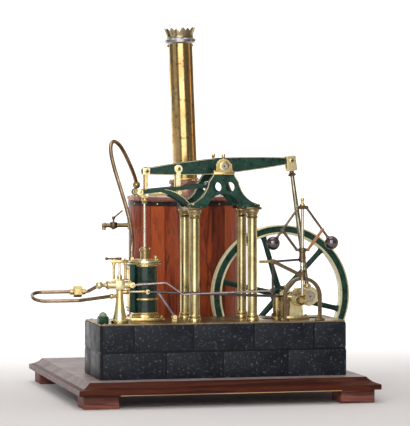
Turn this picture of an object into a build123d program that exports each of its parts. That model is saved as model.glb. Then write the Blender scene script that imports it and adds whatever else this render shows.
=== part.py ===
from build123d import *
import os
from math import asin, atan2, cos, degrees, hypot, radians, sin

os.makedirs("parts", exist_ok=True)

# Model beam engine with a lagged vertical boiler, in millimetres.
# X runs right along the plinth's front, Y away from the viewer, Z up from the baseboard's top.

# Baseboard
board_side = 400.0
board_thick = 16.0
board_band = 7.0
board_hollow = 16.0
board_sag = 1.6
foot_side = 46.0
foot_height = 17.5
foot_inset = 7.0
foot_edge = 1.0

# Plinth of two courses
plinth_length = 330.0
plinth_depth = 111.0
plinth_height = 70.0
plinth_from_left = 35.0
plinth_from_front = 44.0
plinth_corner = 3.0
joint_width = 1.2
joint_depth = 0.8
overrun = 5.0

# Bedplate
bed_thick = 2.0
bed_inset = 1.0
bed_z = plinth_height + bed_thick

# Centre line of the engine and its main axes
mid_y = 60.0
pivot_share = 57 / 110
pivot_x = pivot_share * plinth_length
pivot_z = 275.0
crank_reach = 100.5
shaft_x = pivot_x + crank_reach
shaft_z = 98.5
cylinder_reach = 99.5
cylinder_x = pivot_x - cylinder_reach

# Running clearances
fit = 0.05
face_gap = 0.3

# Columns
column_pitch_x = 78.0
column_pitch_y = 58.0
column_r = 6.4
column_foot_r = 8.5
column_foot_height = 6.0
column_ring_r = 7.6
column_ring_height = 1.6
column_top_z = 218.0
column_cap_r = 9.0
column_cap_height = 7.0
column_neck_drop = 10.0

# Cap plates on each front and rear pair of columns
cap_overhang = 10.5
cap_thick = 3.5
cap_edge = 1.0
cap_top_z = column_top_z + cap_thick

# A-frames
frame_thick = 7.0
frame_top_z = 264.0
frame_top_half = 14.2
frame_shoulder_half = 20.5
frame_shoulder_drop = 10.0
frame_foot_half = 48.0
frame_foot_thick = 4.0
frame_foot_wide = 14.0
frame_flare_half = 43.0
frame_flare_mid_half = 27.5
frame_flare_mid_z = 238.0
frame_arch_half = 22.0
frame_arch_top_z = 239.0
frame_hole_r = 6.6
frame_hole_spread = 17.6
frame_hole_z = 247.5

# Beam bearings
trunnion_r = 4.0
bearing_wide = 28.0
bearing_base_thick = 3.5
bearing_deep = 12.0
bearing_body_wide = 21.5
bearing_body_rise = 3.0
bearing_cap_r = 9.5
bearing_ring_r = 6.5
bearing_ring_proud = 1.2
stud_r = 1.5
stud_head_r = 2.2
stud_height = 3.0
oil_cup_r = 2.4
oil_cup_height = 8.0

# Beam
beam_half = 98.5
beam_tilt = 3.85
beam_thick = 8.0
beam_centre_depth = 21.5
beam_middle_depth = 17.0
beam_end_depth = 7.6
beam_border = 1.8
beam_recess = 1.0
beam_boss_r = 11.0
beam_boss_wide = 18.0
beam_back_pin = 55.5
pin_r = 2.0
pin_head_r = 3.0
pin_head_thick = 0.8

# Parallel motion, in layers beside the beam
link_gap = 0.6
link_thick = 3.0
link_drop = 31.0
link_width = 4.2
link_block_wide = 9.4
link_block_tall = 8.6
back_eye_r = 5.0
low_eye_r = 3.8
low_pin_r = 1.6
bar_gap = 0.6
bar_thick = 2.6
bar_width = 3.6
bar_eye_r = 3.6
radius_thick = 2.5
radius_anchor_reach = 109.3
radius_anchor_x = pivot_x - radius_anchor_reach
radius_anchor_z = 241.2
bracket_gap = 0.6
bracket_thick = 3.0
bracket_rail = 5.0
bracket_root_reach = 19.0
bracket_root_x = pivot_x - bracket_root_reach
bracket_root_z = 249.5
bracket_root_r = 5.0
bracket_brace_reach = 81.0
bracket_brace_x = pivot_x - bracket_brace_reach
bracket_foot_reach = 42.0
bracket_brace_foot_x = pivot_x - bracket_foot_reach
bracket_boss_r = 4.6
bracket_boss_proud = 2.5

# Cylinder, with its piston and cover
cylinder_r = 16.0
cylinder_bore_r = 12.7
cylinder_base_side = 45.0
cylinder_base_thick = 8.5
cylinder_floor = 3.5
cylinder_top_z = 146.4
cylinder_band_r = 17.6
cylinder_band_tall = 3.0
cylinder_band_share = (0.0, 0.3, 0.62, 1.0)
cover_r = 21.5
cover_thick = 4.6
cover_step_r = 13.0
cover_step_thick = 2.2
gland_r = 5.6
gland_top_z = 168.8
gland_flange_r = 7.6
gland_flange_thick = 2.6
cover_stud_ring_r = 17.8
cover_studs = 6
piston_rod_r = 1.9
piston_thick = 8.0
piston_z = 111.0
crosshead_r = 4.4
knob_r = 4.4
knob_drop = 6.0

# Steam chest on the cylinder's left
chest_reach = 22.0
chest_left_x = cylinder_x - chest_reach
chest_deep = 24.0
chest_low_z = 84.0
chest_edge = 1.2
chest_cover_thick = 2.0
chest_cover_margin = 2.5

# Stop valve stand
stand_share = 31 / 330
stand_x = stand_share * plinth_length
stand_y = 26.3
stand_foot_r = 11.5
stand_foot_thick = 4.0
stand_low_r = 9.5
stand_waist_r = 4.6
stand_waist_z = 115.0
stand_body_z = 121.5
stand_body_r = 4.8
stand_body_left = 17.0
stand_body_right = 15.0
stand_collar_r = 6.0
stand_collar_thick = 2.5
stand_block = 12.0
yoke_pitch = 15.0
yoke_pillar_r = 1.8
yoke_top_z = 150.0
yoke_bridge_thick = 4.0
yoke_bridge_wide = 7.0
valve_spindle_r = 1.5
valve_gland_r = 3.4
valve_gland_tall = 7.0
handle_length = 17.0
handle_r = 1.5
handle_hub_r = 3.0
handle_knob_r = 2.2
handle_rise = 2.5
valve_rod_r = 1.4
valve_rod_z = 112.3
valve_guide_r = 3.0
valve_guide_length = 12.0
throttle_stub_r = 1.4

# Lubricator box at the plinth's left end
lubricator_share = 3 / 110
lubricator_x = lubricator_share * plinth_length
lubricator_y = 26.0
lubricator_side = 13.0
lubricator_tall = 9.0
lubricator_cap_r = 4.5

# Pipes
pipe_r = 2.35
loop_far_y = 42.0
loop_near_y = 10.5
loop_left_x = -83.5
loop_far_z = 112.6
loop_near_z = 103.0
loop_union_x = -21.7
loop_turn_x = -8.0
loop_rise_x = -26.0
loop_end_z = 107.0
loop_bend = 14.5
loop_soft_bend = 5.0
union_r = 7.4
union_long = 11.0
union_neck_r = 4.0
union_neck_long = 5.0
dome_r = 5.0
dome_reach = 27.0
dome_x = stand_x - dome_reach
elbow_r = 3.6
elbow_reach = 10.5
elbow_x = stand_x - elbow_reach

# Boiler
boiler_x = 162.0
boiler_y = 225.0
boiler_r = 77.5
boiler_wall = 6.0
boiler_lag_top_z = 226.5
boiler_rim_thick = 5.0
boiler_rim_r = 79.5
hoop_proud = 0.8
hoop_tall = 6.0
hoop_low_z = 6.0
hoop_high_z = 219.0
boiler_top_z = boiler_lag_top_z + boiler_rim_thick
smokebox_low_r = 25.0
smokebox_high_r = 19.0
smokebox_top_z = 248.0
stack_flange_r = 21.7
stack_flange_thick = 4.5
flue_r = 15.4

# Chimney, leaning to the left
stack_foot_x = 163.4
stack_lean = 2.2
stack_r = 16.8
stack_foot_z = smokebox_top_z + stack_flange_thick
stack_top_z = 449.0
stack_ring_r = 21.5
stack_ring_tall = 7.5
crown_tall = 14.5
crown_base_r = 18.2
crown_tip_r = 22.0
crown_wall = 1.4
crown_band_tall = 2.5
crown_petals = 8
crown_notch_share = 0.62

# Water cock on the boiler's left
cock_z = 191.5
cock_plug_x = 61.9
cock_tube_r = 3.0
cock_body_r = 5.4
cock_body_tall = 9.0
cock_flange_r = 6.0
cock_flange_thick = 3.0
cock_spout_x = 45.8
cock_spout_drop = 3.5
cock_spout_r = 2.6
cock_bore_r = 1.4
cock_ball_r = 2.6
cock_ball_z = 201.5
cock_lever_r = 1.2
cock_lever_reach = 12.0
cock_lever_rise = 9.5

# Steam pipe from the boiler's top to the steam chest
steam_union_x = 92.0
steam_union_y = 214.0
steam_union_z = 247.0
steam_apex_x = 54.0
steam_apex_y = 192.0
steam_apex_z = 318.0
steam_fall_x = 45.5
steam_fall_y = 176.0
steam_fall_z = 296.0
steam_mid_x = 53.0
steam_mid_y = 137.0
steam_mid_z = 236.0
steam_low_x = 60.0
steam_low_y = 100.0
steam_low_z = 190.0
steam_end_reach = 17.5
steam_end_x = cylinder_x - steam_end_reach
steam_end_y = 60.0
steam_end_rise = 18.0
steam_nut_r = 4.0
steam_nut_tall = 5.0
steam_boss_r = 4.6
steam_tight_bend = 6.5
steam_wide_bend = 18.0

# Crankshaft and its bearings
shaft_r = 4.0
crank_throw = 23.0
crank_angle = 6.0
web_gap = 0.3
web_thick = 5.0
web_shaft_r = 8.5
web_pin_r = 7.0
pit_half = 41.0
pit_half_deep = 13.0
pit_depth = 12.0
front_bearing_y = 41.0
rear_bearing_y = 95.0
pedestal_deep = 9.0
pedestal_foot_wide = 36.0
pedestal_foot_thick = 4.0
pedestal_low_wide = 20.0
pedestal_high_wide = 15.0
pedestal_cap_r = 8.6
shaft_end_y = 132.0

# Connecting rod
big_end_r = 13.0
big_end_thick = 8.0
big_end_hub_r = 6.0
big_end_proud = 1.0
fork_thick = 3.0
fork_gap = 0.5
fork_eye_r = 6.4
fork_drop = 18.0
fork_block_tall = 20.0
fork_corner = 2.0
fork_collar_r = 5.4
fork_collar_thick = 2.4
rod_end_r = 2.7
rod_middle_r = 3.4

# Feed pump barrel
pump_reach = 25.5
pump_x = shaft_x - pump_reach
pump_y = 40.0
pump_r = 5.5
pump_lip = 0.8
pump_foot_r = 7.0
pump_foot_thick = 2.5
pump_cap_thick = 2.5
pump_top_z = 103.0

# Flywheel
wheel_r = 95.5
rim_deep = 12.5
rim_wide = 14.0
rim_lip = 2.2
rim_recess = 1.4
wheel_gap = 3.0
spokes = 6
spoke_wide = 8.0
spoke_thick = 6.5
spoke_angle = 46.5
hub_r = 13.0
hub_wide = 18.0

# Eccentric
eccentric_throw = 4.0
sheave_r = 9.0
strap_r = 12.0
strap_thick = 4.2
sheave_proud = 0.2
eccentric_y = 20.5
joint_reach = 4.5
joint_x = cylinder_x - joint_reach
eccentric_rod_r = 1.4
joint_eye_r = 3.0
joint_eye_thick = 2.4
rocker_gap = 0.7
rocker_thick = 2.2
rocker_foot_reach = 32.5
rocker_foot_x = cylinder_x + rocker_foot_reach
rocker_foot_z = 78.5
rocker_top_reach = 10.0
rocker_top_x = cylinder_x + rocker_top_reach
rocker_top_z = 111.3
rocker_eye_r = 2.8
rocker_width = 3.0
rocker_lug_wide = 7.0
rocker_lug_thick = 4.0

# Governor
governor_y = 6.0
gear_r = 7.0
gear_face = 2.8
gear_gap = 0.25
gear_hub = 1.8
spindle_r = 2.0
arch_z = 104.0
arch_outer_r = 26.0
arch_inner_r = 21.5
arch_thick = 6.0
arch_foot_wide = 12.0
arch_foot_thick = 3.0
governor_boss_r = 5.0
governor_boss_top_z = 138.5
spindle_low_r = 3.0
spindle_low_top_z = 149.0
arm_pivot_z = 221.0
arm_pivot_x = 5.2
arm_spread = 36.5
arm_joint = 37.0
arm_ball = 58.0
arm_r = 1.3
ball_r = 9.0
arm_eye_r = 2.4
arm_eye_thick = 2.8
arm_pin_r = 1.0
cheek_gap = 0.3
cheek_thick = 1.5
head_r = 3.4
head_tall = 2.4
finial_r = 2.6
finial_z = 231.0
sleeve_top_z = 167.7
sleeve_low_z = 149.3
sleeve_r = 4.7
sleeve_wall = 1.5
sleeve_cup_top_z = 160.0
sleeve_groove_r = 3.9
sleeve_groove_z = 150.8
sleeve_groove_tall = 3.0
sleeve_pin_x = 7.4
sleeve_pin_z = 165.2
sleeve_lug_r = 1.9
strap_gap = 0.3
lower_link_thick = 1.0
lower_link_width = 2.0
lower_eye_r = 1.9
lower_pin_r = 0.9
lower_slack = 0.4
lever_reach = 38.5
lever_x = shaft_x - lever_reach
lever_z = 150.0
lever_y = 11.0
lever_thick = 2.5
lever_hub_r = 3.4
lever_width = 3.0
lever_pin_r = 0.9
lever_bite = 0.4
lever_pivot_r = 1.4
lever_foot_z = 111.5
lever_foot_pin_r = 1.2
lever_tail = 18.0
lever_tail_r = 1.8
lever_arm_low_z = 131.0
lever_arm_wide = 4.5

# Throttle rod
throttle_y = 15.4
throttle_r = 1.0
throttle_eye_r = 3.6
throttle_eye_hole = 2.2
throttle_eye_thick = 2.2
throttle_low_z = 108.5
throttle_knee_reach = 41.5
throttle_knee_x = cylinder_x + throttle_knee_reach
throttle_high_reach = 19.5
throttle_high_x = cylinder_x + throttle_high_reach
throttle_high_z = 124.0
throttle_end_x = stand_x + stand_body_right
throttle_bend = 8.0

# Where the bottom centre of the whole model lies
loop_reach = loop_left_x - pipe_r
wheel_reach = shaft_x + wheel_r
origin_x = (loop_reach + wheel_reach) / 2
origin_y = board_side / 2 - plinth_from_front
ground_z = -board_thick - foot_height

BOTTOM = (Align.CENTER, Align.CENTER, Align.MIN)
LOW_X = (Align.MIN, Align.CENTER, Align.CENTER)


def save(name, *pieces):
    """Writes one node, moved so that the model's bottom centre is the origin."""
    shift = Pos(-origin_x, -origin_y, -ground_z)
    moved = [shift * solid for piece in pieces for solid in piece.solids()]
    shape = moved[0] if len(moved) == 1 else Compound(moved)
    export_step(shape, f"parts/{name}.step")


def round_y(x, z, r, y0, y1):
    """A round bar along Y."""
    return Pos(x, y0, z) * Rot(-90, 0, 0) * Cylinder(r, y1 - y0, align=BOTTOM)


def bar(p, q, r, r_end=None):
    """A round or tapered bar between two points."""
    run = Vector(*q) - Vector(*p)
    place = Plane(origin=p, z_dir=run)
    if r_end is None or r_end == r:
        return place * Cylinder(r, run.length, align=BOTTOM)
    return place * Cone(r, r_end, run.length, align=BOTTOM)


def slab(face, y0, y1):
    """A face drawn in X and Z, given its thickness from y0 to y1."""
    plane = Plane(origin=(0, y1, 0), x_dir=(1, 0, 0), z_dir=(0, -1, 0))
    return extrude(plane * face, amount=y1 - y0, dir=(0, -1, 0))


def turn(*points):
    """A solid turned about Z from points of radius and height."""
    return revolve(Plane.XZ * Polygon(*points, align=None), Axis.Z)


def closed(*lines):
    """The face inside a closed run of lines and arcs."""
    return make_face([edge for line in lines for edge in line.edges()])


def strap(p, q, eye_p, eye_q, width):
    """The outline of a link with a round eye at each end."""
    run_x, run_z = q[0] - p[0], q[1] - p[1]
    middle = Pos((p[0] + q[0]) / 2, (p[1] + q[1]) / 2)
    shank = middle * Rot(0, 0, degrees(atan2(run_z, run_x))) * Rectangle(hypot(run_x, run_z), width)
    return Pos(*p) * Circle(eye_p) + Pos(*q) * Circle(eye_q) + shank


def both_sides(piece):
    """A piece and its mirror image across the engine's centre plane."""
    other = mirror(piece, about=Plane(origin=(0, mid_y, 0), z_dir=(0, 1, 0)))
    return [*piece.solids(), *other.solids()]


def pipe(points, bends, r):
    """A tube's solid along straight runs with rounded corners."""
    path = FilletPolyline(*points, radius=bends)
    start = Plane(origin=path @ 0, z_dir=path % 0)
    return sweep(start * Circle(r), path=path)


def stud(x, y, z):
    """A stud with its nut, standing on the height z."""
    nut = Pos(x, y, z) * extrude(RegularPolygon(stud_head_r, 6), amount=stud_height / 2)
    return nut + Pos(x, y, z) * Cylinder(stud_r, stud_height, align=BOTTOM)


def baseboard():
    half = board_side / 2
    edge_mid = (half - board_hollow / 2 - board_sag / 2, (board_band + board_thick) / 2 - board_sag)
    edge_in = half - board_hollow
    low = Polyline((half, board_band), (half, 0), (-half, 0), (-half, board_band))
    left = ThreePointArc((-half, board_band), (-edge_mid[0], edge_mid[1]), (-edge_in, board_thick))
    top = Line((-edge_in, board_thick), (edge_in, board_thick))
    right = ThreePointArc((edge_in, board_thick), edge_mid, (half, board_band))
    outline = closed(low, left, top, right)
    one_way = extrude(Plane.XZ * outline, amount=board_side, both=True)
    board = one_way & Rot(0, 0, 90) * one_way
    return Pos(half - plinth_from_left, half - plinth_from_front, -board_thick) * board


def base_feet():
    low = -board_thick - foot_height
    reach = board_side / 2 - foot_inset - foot_side / 2
    block = Pos(0, 0, low) * Box(foot_side, foot_side, foot_height, align=BOTTOM)
    block = chamfer(block.edges().group_by(Axis.Z)[0], foot_edge)
    centre = Pos(board_side / 2 - plinth_from_left, board_side / 2 - plinth_from_front, 0)
    return [centre * Pos(sx * reach, sy * reach, 0) * block for sx in (-1, 1) for sy in (-1, 1)]


def crank_pit(low, high):
    """The space that the crank turns in, cut through the plinth's top."""
    centre = Pos(shaft_x, mid_y, low)
    return centre * Box(2 * pit_half, 2 * pit_half_deep, high - low, align=BOTTOM)


def plinth():
    middle = Pos(plinth_length / 2, plinth_depth / 2, 0)
    block = middle * Box(plinth_length, plinth_depth, plinth_height, align=BOTTOM)
    block = fillet(block.edges().filter_by(Axis.Z), plinth_corner)
    course = plinth_height / 2
    inner = Box(plinth_length - 2 * joint_depth, plinth_depth - 2 * joint_depth, joint_width + overrun)
    outer = Box(plinth_length + overrun, plinth_depth + overrun, joint_width)
    block -= middle * Pos(0, 0, course) * (outer - inner)
    bottom_joints = [k * plinth_length / 4 for k in (1, 2, 3)]
    top_joints = [(k + 1 / 2) * plinth_length / 4 for k in range(4)]
    upright = Box(joint_width, 2 * joint_depth, course, align=BOTTOM)
    for low, joints in ((0, bottom_joints), (course, top_joints)):
        for x in joints:
            for y in (0, plinth_depth):
                block -= Pos(x, y, low) * upright
    for x in (0, plinth_length):
        block -= Pos(x, plinth_depth / 2, 0) * Box(2 * joint_depth, joint_width, course, align=BOTTOM)
    return block - crank_pit(plinth_height - pit_depth, plinth_height + overrun)


def bedplate():
    middle = Pos(plinth_length / 2, plinth_depth / 2, plinth_height)
    plate = middle * Box(plinth_length - 2 * bed_inset, plinth_depth - 2 * bed_inset, bed_thick, align=BOTTOM)
    plate = fillet(plate.edges().filter_by(Axis.Z), plinth_corner - bed_inset)
    plate -= crank_pit(plinth_height - overrun, bed_z + overrun)
    lug_y = rocker_y() + rocker_thick + face_gap
    lug_face = Pos(rocker_foot_x, rocker_foot_z) * Circle(rocker_lug_wide / 2)
    lug_tall = rocker_foot_z - bed_z + bed_thick / 2
    lug_face += Pos(rocker_foot_x, rocker_foot_z - lug_tall / 2) * Rectangle(rocker_lug_wide, lug_tall)
    plate += slab(lug_face, lug_y, lug_y + rocker_lug_thick)
    plate += round_y(rocker_foot_x, rocker_foot_z, low_pin_r, rocker_y() - face_gap, lug_y + face_gap)
    return plate


def columns():
    neck_z = column_top_z - column_neck_drop
    foot_z = bed_z + column_foot_height
    one = turn(
        (0, bed_z), (column_foot_r, bed_z), (column_foot_r, foot_z), (column_ring_r, foot_z),
        (column_ring_r, foot_z + column_ring_height), (column_r, foot_z + 2 * column_ring_height),
        (column_r, neck_z), (column_ring_r, neck_z), (column_ring_r, neck_z + column_ring_height),
        (column_r, neck_z + column_ring_height), (column_r, column_top_z - column_cap_height),
        (column_cap_r, column_top_z), (0, column_top_z),
    )
    deep = column_pitch_y + 2 * cap_overhang
    plate = Box(2 * cap_overhang, deep, cap_thick, align=BOTTOM)
    plate = Pos(0, mid_y, column_top_z) * chamfer(plate.edges().group_by(Axis.Z)[0], cap_edge)
    pair = plate + [Pos(0, mid_y + s * column_pitch_y / 2, 0) * one for s in (-1, 1)]
    return [Pos(pivot_x + s * column_pitch_x / 2, 0, 0) * pair for s in (-1, 1)]


def frame_outline():
    """The outline of an A-frame in X and Z, centred on the beam's pivot."""
    toe_z = cap_top_z + frame_foot_thick
    shoulder_z = frame_top_z - frame_shoulder_drop
    edges = []
    for s in (1, -1):
        shoulder = (s * frame_shoulder_half, shoulder_z)
        flare = (s * frame_flare_mid_half, frame_flare_mid_z)
        edges.append(Line((s * frame_top_half, frame_top_z), shoulder))
        edges.append(ThreePointArc(shoulder, flare, (s * frame_flare_half, toe_z)))
        edges.append(Polyline((s * frame_flare_half, toe_z), (s * frame_foot_half, toe_z),
                              (s * frame_foot_half, cap_top_z), (s * frame_arch_half, cap_top_z)))
    edges.append(Line((frame_top_half, frame_top_z), (-frame_top_half, frame_top_z)))
    crown = (0, frame_arch_top_z)
    edges.append(ThreePointArc((frame_arch_half, cap_top_z), crown, (-frame_arch_half, cap_top_z)))
    return closed(*edges)


def a_frame():
    y0 = mid_y - column_pitch_y / 2 - frame_thick / 2
    y1 = y0 + frame_thick
    holes = [Pos(s * frame_hole_spread / 2, frame_hole_z) * Circle(frame_hole_r) for s in (-1, 1)]
    solid = slab(frame_outline() - holes, y0, y1)
    for s in (-1, 1):
        middle = (frame_foot_half + frame_arch_half) / 2
        foot = Box(frame_foot_half - frame_arch_half, frame_foot_wide, frame_foot_thick, align=BOTTOM)
        solid += Pos(s * middle, (y0 + y1) / 2, cap_top_z) * foot
    return Pos(pivot_x, 0, 0) * solid


def a_frames():
    return both_sides(a_frame())


def bearing_face(low_z, axis_z, low_wide, high_wide, cap_r):
    """The outline of a pedestal with a round cap, centred on its shaft."""
    sides = Polygon((-low_wide / 2, low_z), (low_wide / 2, low_z), (high_wide / 2, axis_z),
                    (-high_wide / 2, axis_z), align=None)
    return sides + Pos(0, axis_z) * Circle(cap_r)


def beam_bearings():
    y0 = mid_y - column_pitch_y / 2 - bearing_deep / 2
    y1 = y0 + bearing_deep
    seat = Pos(0, (y0 + y1) / 2, frame_top_z)
    base = seat * Box(bearing_wide, bearing_deep, bearing_base_thick, align=BOTTOM)
    body_tall = pivot_z + bearing_body_rise - frame_top_z
    face = bearing_face(frame_top_z, pivot_z, bearing_body_wide, bearing_body_wide, bearing_cap_r)
    body = slab(face, y0, y1)
    body += seat * Box(bearing_body_wide, bearing_deep, body_tall, align=BOTTOM)
    ring = round_y(0, pivot_z, bearing_ring_r, y0 - bearing_ring_proud, y1)
    reach = (bearing_wide - bearing_base_thick) / 2
    studs = [stud(s * reach, (y0 + y1) / 2, frame_top_z + bearing_base_thick) for s in (-1, 1)]
    cup = Pos(0, (y0 + y1) / 2, pivot_z + bearing_cap_r - stud_r) * turn(
        (0, 0), (stud_r, 0), (stud_r, oil_cup_height / 3), (oil_cup_r, oil_cup_height / 2),
        (oil_cup_r, oil_cup_height), (0, oil_cup_height))
    one = base + body + ring + studs + cup
    one -= round_y(0, pivot_z, trunnion_r + fit, y0 - overrun, y1 + overrun)
    return both_sides(Pos(pivot_x, 0, 0) * one)


def on_beam(distance):
    """The place in X and Z of a pin on the beam's centre line at rest."""
    lean = radians(beam_tilt)
    return pivot_x + distance * cos(lean), pivot_z + distance * sin(lean)


def beam_outline(inset):
    """Half of the beam's outline on each side, curved from its end to its middle."""
    end = beam_half + beam_end_depth / 2 - inset
    points = [(end, beam_end_depth / 2 - inset), (beam_half / 2, beam_middle_depth / 2 - inset),
              (0, beam_centre_depth / 2 - inset)]
    edges = []
    for sx in (1, -1):
        for sz in (1, -1):
            edges.append(ThreePointArc(*[(sx * x, sz * z) for x, z in points]))
        edges.append(Line((sx * end, points[0][1]), (sx * end, -points[0][1])))
    return closed(*edges)


def beam():
    y0, y1 = mid_y - beam_thick / 2, mid_y + beam_thick / 2
    low_plane = Pos(pivot_x, 0, pivot_z) * Rot(0, -beam_tilt, 0)
    web = slab(beam_outline(0), y0, y1)
    eye = [round_y(s * beam_half, 0, beam_end_depth / 2 + beam_border, y0, y1) for s in (-1, 1)]
    keep = [Pos(x, 0) * Circle(r) for x, r in ((0, beam_boss_r), (-beam_back_pin, back_eye_r),
                                                (-beam_half, back_eye_r), (beam_half, back_eye_r))]
    sunk = beam_outline(beam_border) - keep
    web -= slab(sunk, y0 - overrun, y0 + beam_recess)
    web -= slab(sunk, y1 - beam_recess, y1 + overrun)
    boss = round_y(0, 0, beam_boss_r, mid_y - beam_boss_wide / 2, mid_y + beam_boss_wide / 2)
    reach = column_pitch_y / 2 + bearing_deep / 2
    trunnion = round_y(0, 0, trunnion_r, mid_y - reach, mid_y + reach)
    pins = []
    for place in (-beam_half, -beam_back_pin, beam_half):
        out = beam_thick / 2 + link_gap + link_thick
        pins.append(round_y(place, 0, pin_r, mid_y - out - face_gap, mid_y + out + face_gap))
        for y in (mid_y - out - face_gap - pin_head_thick, mid_y + out + face_gap):
            pins.append(round_y(place, 0, pin_head_r, y, y + pin_head_thick))
    return low_plane * (web + eye + boss + trunnion + pins)


def link_layer():
    """The near side of the links beside the beam, as their two faces in Y."""
    inner = mid_y - beam_thick / 2 - link_gap
    return inner - link_thick, inner


def bar_layer():
    inner = link_layer()[0] - bar_gap
    return inner - bar_thick, inner


def radius_layer():
    inner = bar_layer()[0] - bar_gap
    return inner - radius_thick, inner


def bracket_layer():
    inner = radius_layer()[0] - bracket_gap
    return inner - bracket_thick, inner


def main_links():
    x, z = on_beam(-beam_half)
    y0, y1 = link_layer()
    low = (x, z - link_drop)
    face = strap((x, z), low, link_width / 2, low_eye_r, link_width)
    face += Pos(x, z) * Rectangle(link_block_wide, link_block_tall)
    one = slab(face, y0, y1) - round_y(x, z, pin_r + fit, y0 - overrun, y1 + overrun)
    one += round_y(low[0], low[1], low_pin_r, bar_layer()[0] - face_gap, y0)
    return both_sides(one)


def back_links():
    x, z = on_beam(-beam_back_pin)
    y0, y1 = link_layer()
    low = (x, z - link_drop)
    face = strap((x, z), low, back_eye_r, low_eye_r, link_width)
    one = slab(face, y0, y1) - round_y(x, z, pin_r + fit, y0 - overrun, y1 + overrun)
    one += round_y(low[0], low[1], low_pin_r, bar_layer()[0] - face_gap, y0)
    return both_sides(one)


def parallel_bars():
    x0, z0 = on_beam(-beam_half)
    x1, z1 = on_beam(-beam_back_pin)
    y0, y1 = bar_layer()
    face = strap((x0, z0 - link_drop), (x1, z1 - link_drop), bar_eye_r, bar_eye_r, bar_width)
    one = slab(face, y0, y1)
    for x, z in ((x0, z0), (x1, z1)):
        one -= round_y(x, z - link_drop, low_pin_r + fit, y0 - overrun, y1 + overrun)
    return both_sides(one)


def radius_rods():
    x1, z1 = on_beam(-beam_back_pin)
    y0, y1 = radius_layer()
    anchor = (radius_anchor_x, radius_anchor_z)
    one = slab(strap(anchor, (x1, z1 - link_drop), bar_eye_r, bar_eye_r, bar_width), y0, y1)
    one -= round_y(anchor[0], anchor[1], low_pin_r + fit, y0 - overrun, y1 + overrun)
    return both_sides(one)


def motion_brackets():
    y0, y1 = bracket_layer()
    anchor = (radius_anchor_x, radius_anchor_z)
    root = (bracket_root_x, bracket_root_z)
    face = strap(anchor, root, bracket_boss_r, bracket_root_r, bracket_rail)
    slope = (root[1] - anchor[1]) / (root[0] - anchor[0])
    start = (bracket_brace_x, anchor[1] + slope * (bracket_brace_x - anchor[0]) + bracket_rail / 4)
    foot_x = bracket_brace_foot_x
    half = bracket_rail / 2
    bow = ((start[0] + foot_x) / 2 + half, (start[1] + cap_top_z) / 2 + half)
    under = ThreePointArc((start[0] - bracket_rail, start[1] - half), (bow[0] - half, bow[1] - half),
                          (foot_x - half, cap_top_z))
    over = ThreePointArc((start[0] + bracket_rail, start[1]), (bow[0] + half, bow[1] + half),
                         (foot_x + half, cap_top_z))
    top = Line((start[0] - bracket_rail, start[1] - half), (start[0] + bracket_rail, start[1]))
    base = Line((foot_x - half, cap_top_z), (foot_x + half, cap_top_z))
    face += closed(under, over, top, base)
    one = slab(face, y0, y1)
    frame_face = mid_y - column_pitch_y / 2 + frame_thick / 2
    one += round_y(root[0], root[1], bracket_root_r, frame_face, y0)
    one += round_y(anchor[0], anchor[1], low_pin_r, y1, radius_layer()[1] + face_gap)
    one += round_y(anchor[0], anchor[1], bracket_boss_r, y0 - bracket_boss_proud, y0)
    return both_sides(one)


def cylinder():
    low = bed_z + cylinder_base_thick
    tall = cylinder_top_z - low
    outline = Pos(cylinder_x, mid_y, low) * Cylinder(cylinder_r, tall, align=BOTTOM)
    for share in cylinder_band_share:
        z = low + share * (tall - cylinder_band_tall)
        outline += Pos(cylinder_x, mid_y, z) * Cylinder(cylinder_band_r, cylinder_band_tall, align=BOTTOM)
    bore = Pos(cylinder_x, mid_y, low + cylinder_floor) * Cylinder(cylinder_bore_r, tall, align=BOTTOM)
    return outline + cylinder_base() - bore


def cylinder_base():
    """The square plate and ring under the cylinder, with its studs."""
    plate = Pos(cylinder_x, mid_y, bed_z) * Box(cylinder_base_side, cylinder_base_side,
                                                cylinder_base_thick - cylinder_floor, align=BOTTOM)
    plate = fillet(plate.edges().filter_by(Axis.Z), cylinder_base_thick / 2)
    ring = Cylinder(cylinder_r + cylinder_floor, cylinder_base_thick, align=BOTTOM)
    ring = Pos(cylinder_x, mid_y, bed_z) * ring
    reach = cylinder_base_side / 2 - stud_head_r - stud_r
    top = bed_z + cylinder_base_thick - cylinder_floor
    studs = [stud(cylinder_x + sx * reach, mid_y + sy * reach, top) for sx in (-1, 1) for sy in (-1, 1)]
    return plate + ring + studs


def cylinder_cover():
    z = cylinder_top_z
    step_z = z + cover_thick + cover_step_thick
    flange_z = gland_top_z - 2 * gland_flange_thick
    body = Pos(cylinder_x, mid_y, 0) * turn(
        (0, z), (cover_r, z), (cover_r, z + cover_thick), (cover_step_r, z + cover_thick),
        (cover_step_r, step_z), (gland_r, step_z), (gland_r, flange_z), (gland_flange_r, flange_z),
        (gland_flange_r, flange_z + gland_flange_thick), (gland_r, flange_z + gland_flange_thick),
        (gland_r - stud_r, gland_top_z), (0, gland_top_z))
    for k in range(cover_studs):
        angle = radians(360 * (k + 1 / 2) / cover_studs)
        body += stud(cylinder_x + cover_stud_ring_r * cos(angle), mid_y + cover_stud_ring_r * sin(angle),
                     z + cover_thick)
    cup = turn((0, 0), (stud_r, 0), (stud_r, oil_cup_height / 3), (oil_cup_r, oil_cup_height / 2),
               (oil_cup_r, oil_cup_height), (0, oil_cup_height))
    body += Pos(cylinder_x + cover_step_r + oil_cup_r / 2, mid_y - oil_cup_r, z + cover_thick - stud_r) * cup
    rod_hole = Cylinder(piston_rod_r + fit, gland_top_z, align=BOTTOM)
    return body - Pos(cylinder_x, mid_y, z - overrun) * rod_hole


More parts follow.
